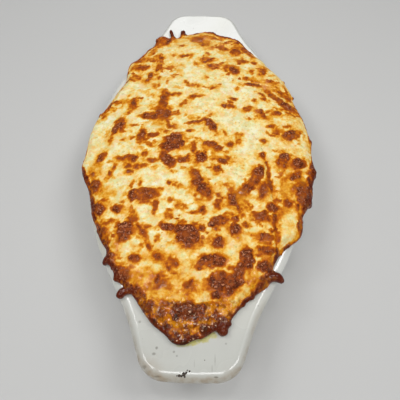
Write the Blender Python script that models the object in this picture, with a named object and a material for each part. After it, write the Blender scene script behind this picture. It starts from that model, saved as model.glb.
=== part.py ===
"""Baked pasta in an eared gratin dish, in metres with +Z up.

Three pieces rest on each other: a glazed stoneware dish with a flat ear at each
end, the pasta and sauce that fill it, and the blanket of melted cheese that domes
over the filling, laps over the rim and hangs past it at the sides. +Y runs along
the dish, away from the narrow end of the cheese, and the origin is the middle of
the flat underside.
"""

import math

import bmesh
import bpy
from mathutils import Vector, noise

# ---- Driving dimensions: dish ----------------------------------------------------
DISH_LENGTH = 0.305          # over both ears
DISH_WIDTH = 0.1556          # at the middle of the sides
RIM_HEIGHT = 0.040
EAR_THICKNESS = 0.0085
EAR_END_HALF = 0.0259        # half the straight end of an ear
EAR_END_BOW = 0.001          # how far that end swells outwards
EAR_END_BOW_RADIUS = 0.200
EAR_END_RADIUS = 0.017
EAR_ROOT = (0.0376, 0.120)   # where the ear's side meets the body's shoulder
EAR_ROOT_RADIUS = 0.125
SHOULDER_Y = 0.0486          # where the straight of the side would meet the shoulder
SHOULDER_RADIUS = 0.180
EDGE_TOP_ROUND = 0.0040      # rounding of the rim's outer top edge
EDGE_LOW_ROUND = 0.0025      # rounding of the rim's outer lower edge
FOOT = (0.050, 0.098)        # half sizes of the flat underside
WALL_TOP = (0.0725, 0.1240)  # half sizes of the body where it meets the rim
CAVITY_MOUTH = (0.0695, 0.1205)
CAVITY_FLOOR = (0.0440, 0.0890)
MOUTH_ROUND = 0.0010         # rounding of the hollow's top edge
FLOOR_THICKNESS = 0.007
FOOT_ROUND = 0.002

# ---- Driving dimensions: food ----------------------------------------------------
GAP = 0.0003                 # clearance between pieces that touch
FILLING_EDGE_DROP = 0.0015   # filling's edge below the rim
FILLING_CROWN = 0.0085       # filling's middle above the rim
CHEESE_HALF = (0.0827, 0.1287)
CHEESE_SHIFT = (0.0015, -0.0022)  # the blanket lies a little off the dish's middle
CHEESE_THICKNESS = 0.0055
CHEESE_LIP = 0.0042          # thickness of the blanket's edge
LIP_DROOP = 0.0060           # how far the edge hangs past the rim at the sides
LIP_ROUND = 0.0022           # rounding of that edge
LIP_CLEARANCE = 0.0006       # between the hanging edge and the side of the rim
NEAR_TAPER = 0.24            # share by which the near end is narrower
LUMP_SIZE = 0.020            # spacing of the pasta's lumps under the cheese
LUMP_HEIGHT = 0.0018
BLISTER_SIZE = 0.009
BLISTER_HEIGHT = 0.0010

# Swells of the cheese's edge: where round the dish (degrees from +X), how far, how wide
EDGE_SWELLS = (
    (14, 0.0020, 14),
    (-17, 0.0025, 9),
    (-32, 0.0040, 7),
    (-62, 0.0035, 5),
    (-83, 0.0030, 5),
    (-96, 0.0040, 6),
    (-115, 0.0050, 4),
    (-167, 0.0030, 10),
    (152, -0.0040, 14),
    (128, -0.0050, 12),
    (104, 0.0030, 4),
    (97, 0.0030, 3),
    (62, -0.0030, 9),
)

# ---- Mesh density ----------------------------------------------------------------
AROUND = 88
ARC_STEPS = 24
CHEESE_RINGS = 13
BED_RINGS = 6
WALL_RINGS = 5


def start_clean():
    for item in list(bpy.data.objects):
        bpy.data.objects.remove(item, do_unlink=True)


def make_collection(name):
    collection = bpy.data.collections.new(name)
    bpy.context.scene.collection.children.link(collection)
    return collection


def make_material(name, colour, roughness):
    material = bpy.data.materials.new(name)
    material.use_nodes = True
    material.diffuse_color = (*colour, 1.0)
    shader = material.node_tree.nodes["Principled BSDF"]
    shader.inputs["Base Color"].default_value = (*colour, 1.0)
    shader.inputs["Roughness"].default_value = roughness
    shader.inputs["Metallic"].default_value = 0.0
    return material


# ---- Plan curves -----------------------------------------------------------------
def fillet(before, corner, after, radius):
    """Points of the arc that rounds a corner, from its first tangent to its last."""
    back = (before - corner).normalized()
    ahead = (after - corner).normalized()
    opening = back.angle(ahead)
    reach = radius / math.tan(opening / 2)
    middle = corner + (back + ahead).normalized() * radius / math.sin(opening / 2)
    first = corner + back * reach - middle
    last = corner + ahead * reach - middle
    sweep = math.atan2(first.x * last.y - first.y * last.x, first.dot(last))
    arc = []
    for step in range(ARC_STEPS + 1):
        turn = sweep * step / ARC_STEPS
        cosine, sine = math.cos(turn), math.sin(turn)
        offset = Vector((first.x * cosine - first.y * sine, first.x * sine + first.y * cosine))
        arc.append(middle + offset)
    return arc


def dish_corners():
    """Corners of the dish's outline with their radii, counter-clockwise from +X."""
    half_length = DISH_LENGTH / 2
    quarter = [
        (DISH_WIDTH / 2, SHOULDER_Y, SHOULDER_RADIUS),
        (*EAR_ROOT, EAR_ROOT_RADIUS),
        (EAR_END_HALF, half_length - EAR_END_BOW, EAR_END_RADIUS),
    ]
    far = quarter + [(0.0, half_length, EAR_END_BOW_RADIUS)]
    far += [(-x, y, radius) for x, y, radius in reversed(quarter)]
    return far + [(-x, -y, radius) for x, y, radius in far]


def resample(points, count):
    """The closed curve through the points, read at even steps along its length."""
    closed = points + [points[0]]
    lengths = [0.0]
    for start, end in zip(closed, closed[1:]):
        lengths.append(lengths[-1] + (end - start).length)
    result = []
    piece = 0
    for index in range(count):
        target = lengths[-1] * index / count
        while lengths[piece + 1] < target:
            piece += 1
        span = lengths[piece + 1] - lengths[piece]
        share = (target - lengths[piece]) / span if span else 0.0
        result.append(closed[piece].lerp(closed[piece + 1], share))
    return result


def dish_outline():
    corners = dish_corners()
    places = [Vector((x, y)) for x, y, _ in corners]
    count = len(corners)
    points = []
    for index in range(count):
        before, after = places[index - 1], places[(index + 1) % count]
        points += fillet(before, places[index], after, corners[index][2])
    stretch = DISH_LENGTH / 2 / max(point.y for point in points)
    return resample([Vector((point.x, point.y * stretch)) for point in points], AROUND)


def inset(outline, distance):
    """The outline moved inwards along its normals."""
    count = len(outline)
    moved = []
    for index, point in enumerate(outline):
        along = outline[(index + 1) % count] - outline[index - 1]
        normal = Vector((-along.y, along.x)).normalized()
        moved.append(point + normal * distance)
    return moved


def oval(directions, half_sizes):
    """Where rays in the given directions leave an ellipse."""
    wide, long = half_sizes
    return [d / math.hypot(d.x / wide, d.y / long) for d in directions]


def between(small, large, share):
    return tuple(a + (b - a) * share for a, b in zip(small, large))


def raised(plan, height):
    return [(point.x, point.y, height) for point in plan]


# ---- Lofts -----------------------------------------------------------------------
def loft(name, rings, collection, material, pole_first=False, pole_last=False):
    """A closed body through rings of equal count.

    Rings run counter-clockwise, from the middle of the underside outwards, up and back
    in over the top. An end is closed by one flat face, or by a fan to a pole, where
    the ring's middle is given as the pole.
    """
    mesh = bpy.data.meshes.new(name)
    body = bmesh.new()
    poles = [rings[0] if pole_first else None, rings[-1] if pole_last else None]
    full = rings[1 if pole_first else 0:len(rings) - (1 if pole_last else 0)]
    loops = [[body.verts.new(point) for point in ring] for ring in full]
    for lower, upper in zip(loops, loops[1:]):
        for index in range(len(lower)):
            after = (index + 1) % len(lower)
            body.faces.new((lower[index], lower[after], upper[after], upper[index]))
    for loop, pole in ((loops[0], poles[0]), (loops[-1], poles[1])):
        if pole is None:
            body.faces.new(loop)
            continue
        tip = body.verts.new(pole[0])
        for index in range(len(loop)):
            body.faces.new((tip, loop[index], loop[(index + 1) % len(loop)]))
    bmesh.ops.recalc_face_normals(body, faces=body.faces[:])
    bmesh.ops.triangulate(body, faces=body.faces[:])
    body.to_mesh(mesh)
    body.free()
    mesh.shade_smooth()
    mesh.set_sharp_from_angle(angle=math.radians(40))
    mesh.materials.append(material)
    piece = bpy.data.objects.new(name, mesh)
    collection.objects.link(piece)
    return piece


# ---- Dish ------------------------------------------------------------------------
def cavity_half_sizes(height):
    """Half sizes of the hollow at a height above the underside."""
    depth = RIM_HEIGHT - FLOOR_THICKNESS
    share = min(max((height - FLOOR_THICKNESS) / depth, 0.0), 1.0)
    flare = 0.55 * math.sin(share * math.pi / 2) ** 0.55 + 0.45 * share
    return between(CAVITY_FLOOR, CAVITY_MOUTH, flare)


def mouth_rim():
    """Half sizes of the flat rim's inner edge, round the hollow."""
    return tuple(size + MOUTH_ROUND for size in CAVITY_MOUTH)


def cavity_heights():
    """Heights of the hollow's rings, from the rim down, closer towards the floor."""
    top = RIM_HEIGHT - MOUTH_ROUND
    shares = [(step / WALL_RINGS) ** 1.6 for step in range(WALL_RINGS, -1, -1)]
    return [FLOOR_THICKNESS + (top - FLOOR_THICKNESS) * share for share in shares]


def build_dish(outline, directions, collection):
    under_rim = RIM_HEIGHT - EAR_THICKNESS
    rings = [raised(oval(directions, FOOT), 0.0)]
    foot = tuple(size + FOOT_ROUND for size in FOOT)
    for step in range(WALL_RINGS + 1):
        share = step / WALL_RINGS
        swell = 0.5 * math.sin(share * math.pi / 2) + 0.5 * share
        sizes = between(foot, WALL_TOP, swell)
        height = FOOT_ROUND + (under_rim - FOOT_ROUND) * share
        rings.append(raised(oval(directions, sizes), height))
    for step in range(3):
        turn = math.radians(45 * step)
        plan = inset(outline, EDGE_LOW_ROUND * (1 - math.sin(turn)))
        rings.append(raised(plan, under_rim + GAP + EDGE_LOW_ROUND * (1 - math.cos(turn))))
    for step in range(4):
        turn = math.radians(30 * step)
        plan = inset(outline, EDGE_TOP_ROUND * (1 - math.cos(turn)))
        rings.append(raised(plan, RIM_HEIGHT - EDGE_TOP_ROUND * (1 - math.sin(turn))))
    rings.append(raised(oval(directions, mouth_rim()), RIM_HEIGHT))
    for height in cavity_heights():
        rings.append(raised(oval(directions, cavity_half_sizes(height)), height))
    glaze = make_material("white_stoneware_glaze", (0.78, 0.77, 0.72), 0.18)
    return loft("dish", rings, collection, glaze)


# ---- Filling ---------------------------------------------------------------------
def lumps(x, y):
    """Height of the pasta's lumps under the cheese, which fade towards the rim."""
    wide, long = CAVITY_MOUTH
    inside = max(0.0, 1.0 - (x / wide) ** 2 - (y / long) ** 2)
    return LUMP_HEIGHT * noise.noise(Vector((x, y, 0.0)) / LUMP_SIZE) * min(1.0, inside * 4)


def crown_height(x, y):
    """Height of the filling's top."""
    wide, long = CAVITY_MOUTH
    inside = max(0.0, 1.0 - (x / wide) ** 2 - (y / long) ** 2)
    rise = (FILLING_CROWN + FILLING_EDGE_DROP) * inside ** 0.7
    return RIM_HEIGHT - FILLING_EDGE_DROP + rise + lumps(x, y)


def bed_rings(directions, lift):
    """The filling's top from its edge inwards, moved up by a gap for what lies on it."""
    edge_height = RIM_HEIGHT - FILLING_EDGE_DROP
    edge = tuple(size - GAP * 2 for size in cavity_half_sizes(edge_height))
    rings = []
    for step in range(BED_RINGS):
        share = 1.0 - (step / BED_RINGS) ** 1.3
        plan = oval(directions, tuple(size * share for size in edge))
        rings.append([(p.x, p.y, crown_height(p.x, p.y) + lift) for p in plan])
    return rings


def build_filling(directions, collection):
    rings = []
    for height in reversed(cavity_heights()):
        if height + FILLING_EDGE_DROP * 2 < RIM_HEIGHT:
            sizes = tuple(size - GAP * 2 for size in cavity_half_sizes(height))
            rings.append(raised(oval(directions, sizes), height + GAP))
    rings += bed_rings(directions, 0.0)
    middle = (0.0, 0.0, crown_height(0.0, 0.0))
    sauce = make_material("pasta_and_sauce", (0.42, 0.13, 0.04), 0.45)
    return loft("pasta_filling", rings + [[middle]], collection, sauce, pole_last=True)


# ---- Cheese ----------------------------------------------------------------------
def cheese_outline(directions):
    """Edge of the blanket: an ellipse with a narrow near end and uneven swells."""
    wide, long = CHEESE_HALF
    points = []
    for direction in directions:
        point = direction / math.hypot(direction.x / wide, direction.y / long)
        towards_near = max(0.0, -point.y / long)
        point.x *= 1.0 - NEAR_TAPER * towards_near ** 1.5 * (1.5 - 0.5 * towards_near)
        angle = math.degrees(math.atan2(direction.y, direction.x))
        reach = 0.0
        for place, height, width in EDGE_SWELLS:
            away = (angle - place + 180.0) % 360.0 - 180.0
            reach += height * math.exp(-(away / width) ** 2)
        points.append(point + point.normalized() * reach + Vector(CHEESE_SHIFT))
    return points


def blisters(x, y):
    return BLISTER_HEIGHT * noise.noise(Vector((x, y, 0.05)) / BLISTER_SIZE)


def blanket_top(plan_point, share):
    """Height of the cheese's upper side at a share of the way out to its edge."""
    x, y = plan_point.x, plan_point.y
    over_edge = RIM_HEIGHT + GAP + CHEESE_LIP
    crown = FILLING_CROWN + CHEESE_THICKNESS - CHEESE_LIP
    rise = crown * (1.0 - share ** 2.4) ** 0.9
    return over_edge + rise + 1.4 * lumps(x, y) + blisters(x, y) * (1.0 - share ** 6)


def lip_droops(edge, outline):
    """How far the lip hangs down, only where it and its neighbours clear the rim."""
    free = LIP_CLEARANCE + LIP_ROUND * 1.3
    raw = []
    for point, rim in zip(edge, outline):
        past = point.length - rim.length - free
        raw.append(LIP_DROOP * min(1.0, max(0.0, past / LIP_ROUND)))
    count = len(raw)
    return [min(raw[i - 1], raw[i], raw[(i + 1) % count]) for i in range(count)]


def build_cheese(outline, directions, collection):
    edge = cheese_outline(directions)
    rest = RIM_HEIGHT + GAP
    droops = lip_droops(edge, outline)
    rings = [[(0.0, 0.0, crown_height(0.0, 0.0) + GAP)]]
    rings += list(reversed(bed_rings(directions, GAP)))
    rings.append(raised(oval(directions, mouth_rim()), rest))

    corner, hanging, belly, shoulder = [], [], [], []
    for point, rim, drop in zip(edge, outline, droops):
        outwards = point.normalized()
        inside = outwards * (point.length - LIP_ROUND)
        turn = outwards * min(rim.length + LIP_CLEARANCE, inside.length - LIP_ROUND * 0.3)
        upper = outwards * (point.length - LIP_ROUND * 0.4)
        corner.append((turn.x, turn.y, rest))
        hanging.append((inside.x, inside.y, rest - drop + GAP))
        belly.append((point.x, point.y, rest + CHEESE_LIP * 0.4 - drop * 0.6))
        shoulder.append((upper.x, upper.y, rest + CHEESE_LIP * 0.8 - drop * 0.25))
    rings += [corner, hanging, belly, shoulder]

    for step in range(CHEESE_RINGS):
        share = 1.0 - ((step + 0.45) / (CHEESE_RINGS + 0.45)) ** 1.15
        plan = [point * share for point in edge]
        rings.append([(p.x, p.y, blanket_top(p, share)) for p in plan])
    middle = Vector((0.0, 0.0))
    top_pole = [(0.0, 0.0, blanket_top(middle, 0.0))]
    cheese = make_material("browned_cheese", (0.80, 0.52, 0.20), 0.38)
    return loft("cheese_topping", rings + [top_pole], collection, cheese,
                pole_first=True, pole_last=True)


def main():
    start_clean()
    collection = make_collection("baked_pasta")
    outline = dish_outline()
    directions = [point.normalized() for point in outline]
    build_dish(outline, directions, collection)
    build_filling(directions, collection)
    build_cheese(outline, directions, collection)


main()
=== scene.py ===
"""Looks of the baked pasta: glazed dish, melted cheese with its browning, oil and crumbs."""

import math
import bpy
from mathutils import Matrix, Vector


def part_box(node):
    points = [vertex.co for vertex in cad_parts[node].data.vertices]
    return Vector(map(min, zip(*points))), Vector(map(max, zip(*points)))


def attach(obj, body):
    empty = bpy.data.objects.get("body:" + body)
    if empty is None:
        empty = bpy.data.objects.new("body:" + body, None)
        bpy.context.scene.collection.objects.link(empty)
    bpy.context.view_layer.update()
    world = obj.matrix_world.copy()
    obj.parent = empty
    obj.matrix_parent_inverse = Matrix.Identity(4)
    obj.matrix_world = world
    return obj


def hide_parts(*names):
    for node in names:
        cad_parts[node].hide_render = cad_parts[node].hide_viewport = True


bl_info = {
    "name": "Baked pasta",
    "version": (1, 0, 0),
    "blender": (4, 5, 0),
    "location": "View3D > Sidebar > Baked pasta",
    "description": "Dresses a pasta bake: stoneware dish, browned cheese, oil, crumbs and a studio",
    "category": "Object",
}

import bmesh
import bpy
import numpy as np
from bpy.props import FloatProperty, FloatVectorProperty, IntProperty, PointerProperty
from mathutils import Matrix, Vector
from mathutils.bvhtree import BVHTree

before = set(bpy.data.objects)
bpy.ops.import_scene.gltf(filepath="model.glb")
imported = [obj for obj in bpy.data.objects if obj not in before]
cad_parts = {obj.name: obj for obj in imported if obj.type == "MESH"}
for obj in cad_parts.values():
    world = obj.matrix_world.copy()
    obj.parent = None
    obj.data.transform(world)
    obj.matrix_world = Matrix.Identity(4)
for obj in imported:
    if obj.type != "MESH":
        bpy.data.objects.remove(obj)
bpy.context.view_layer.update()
HALF_WIDTH, HALF_LENGTH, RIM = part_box("dish")[1]

MM = 0.001

# ---- Dish, in millimetres ----------------------------------------------------------
# Corners of one quarter of the outline: x, y and the radius that rounds the corner
DISH_QUARTER = (
    (HALF_WIDTH / MM, 48.6, 180.0),
    (37.6, 120.0, 125.0),
    (25.9, HALF_LENGTH / MM - 1.0, 17.0),
)
EAR_BOW_RADIUS = 200.0        # the slight bow of an ear's end
EAR_THICKNESS = 8.5
TOP_ROUND = 4.0               # height of the rim's rolled edge
EDGE_ROLL = (3.4, 6.4)        # its width on the far end and the sides, and on the near ear
ROLL_FLATNESS = 1.15          # 1 is a quarter circle, and 2 a straight bevel
LOW_ROUND = 2.5               # radius of the rim's lower edge
FOOT = (50.0, 98.0)           # half sizes of the foot, the wall's top, the mouth and the floor
WALL_TOP = (72.5, 124.0)
MOUTH = (70.5, 121.5)
FLOOR = (44.0, 89.0)
FOOT_STEP = 2.0               # how far the wall starts above and outside the foot
FLOOR_HEIGHT = 7.0
UNDER_RISE = 0.3              # from the wall to the edge of an ear's underside
NEAR_EAR_SHADE = (-0.135, -0.09)    # metres along, between which the painted shade on the near ear fades out

# Grey specks in the glaze of the near ear: x, y, half sizes, strength
SPECKS = (
    (-30.1, -121.6, 1, .9, .4), (-19.2, -135.3, 1, .9, .6), (-20.6, -138.4, 1.2, 1, .5),
    (-9.5, -137.1, .8, .8, .45), (-7.8, -139.1, .7, .7, .4), (19.4, -132.2, .8, .7, .35),
    (13.3, -140.6, .4, 3.6, .25), (11.7, -145.4, .4, 2.6, .25), (2, -143, .3, 2.4, .2),
    (-25.5, -145, 1.6, 1.2, .4), (-18, -149.6, 2.4, .6, .45), (13.9, -149.2, 1.3, .5, .6),
)

# Thin oil that crept out of the cheese there: x, y, half sizes, strength
OIL_FILM = (
    (-5, -133.2, 6, 1.6, .55), (.5, -131.8, 5, 2.2, .85), (6, -130, 5, 2.4, .85),
    (11.5, -127.8, 4, 2.1, .75),
)

# Burnt crumbs on that ear's edge: x, y and radius
CRUMBS = (
    (-3.6, -148.2, 1.1), (-6, -148.8, .8), (-4.8, -149.1, .6), (-2.2, -147.4, .6), (-.5, -146.6, .5),
    (-1.8, -146.2, .4), (-7.3, -149, .4), (-3, -149.4, .5),
)

# ---- Cheese, in millimetres --------------------------------------------------------
# The topping has its own frame, and lies a little off the middle of the dish
TOPPING_SCALE = (0.99, 0.986)
TOPPING_SHIFT = (1.5, -2.2)

# Edge of the blanket, anticlockwise from the right-hand side
CHEESE_EDGE = (
    (81.5, 0), (82.2, 9), (80.3, 19), (78.4, 28), (75.5, 36), (72.4, 46), (71.5, 54), (69.2, 61.2),
    (64, 72.3), (59, 79.3), (53.5, 86.3), (50.5, 92), (45.5, 97), (41.5, 102), (37.5, 106.5), (34, 112.5),
    (31, 116.5), (26, 119.5), (18, 122.5), (12.5, 124), (8.5, 127.5), (1, 127.5), (-5, 126), (-13, 123.5),
    (-22, 119.5), (-30, 118.5), (-36, 121.5), (-40.5, 116), (-42.5, 108.5), (-47.5, 103), (-50, 98),
    (-55.5, 91), (-61, 85.5), (-62, 76), (-62, 65), (-66, 57), (-69.5, 48), (-73.5, 38), (-77.5, 29.5),
    (-80.5, 21), (-82.5, 8), (-82.8, -6), (-84.2, -15.5), (-83.2, -21), (-79, -30), (-75.5, -36.5),
    (-72.5, -46), (-70, -56), (-66, -63.5), (-62.5, -71.5), (-57, -79.5), (-56.5, -86), (-51.5, -91.5),
    (-48.5, -98), (-41.5, -102.5), (-36.5, -108), (-30.5, -116), (-24, -123.4), (-17, -128.2),
    (-12.2, -132.8), (-5.8, -133.8), (-1, -131.4), (5.2, -129.4), (10.5, -126.6), (19.2, -122.8),
    (22, -118.2), (28.5, -111), (37, -104.3), (44, -99), (46, -91.5), (50, -82.6), (56, -75.2),
    (64.2, -69.6), (68, -63.5), (68.8, -54), (72.5, -47.5), (77, -40.5), (77.8, -32), (80.5, -24),
    (82.5, -17), (81.3, -8),
)
LIP = 4.2                     # height of the blanket's edge above the rim
CROWN = 8.9                   # how much higher the middle is
CROWN_HALF = (84.0, 131.0)
DROOP = 5.0                   # how far the edge hangs where it runs past the rim
REST_GAP = 0.3                # between the blanket and what it lies on
HIDDEN_SHARE = 0.86           # how far out the hidden underside is made of a few rings
HIDDEN_RINGS = (0.94, 0.80, 0.60, 0.36, 0.16)

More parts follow.
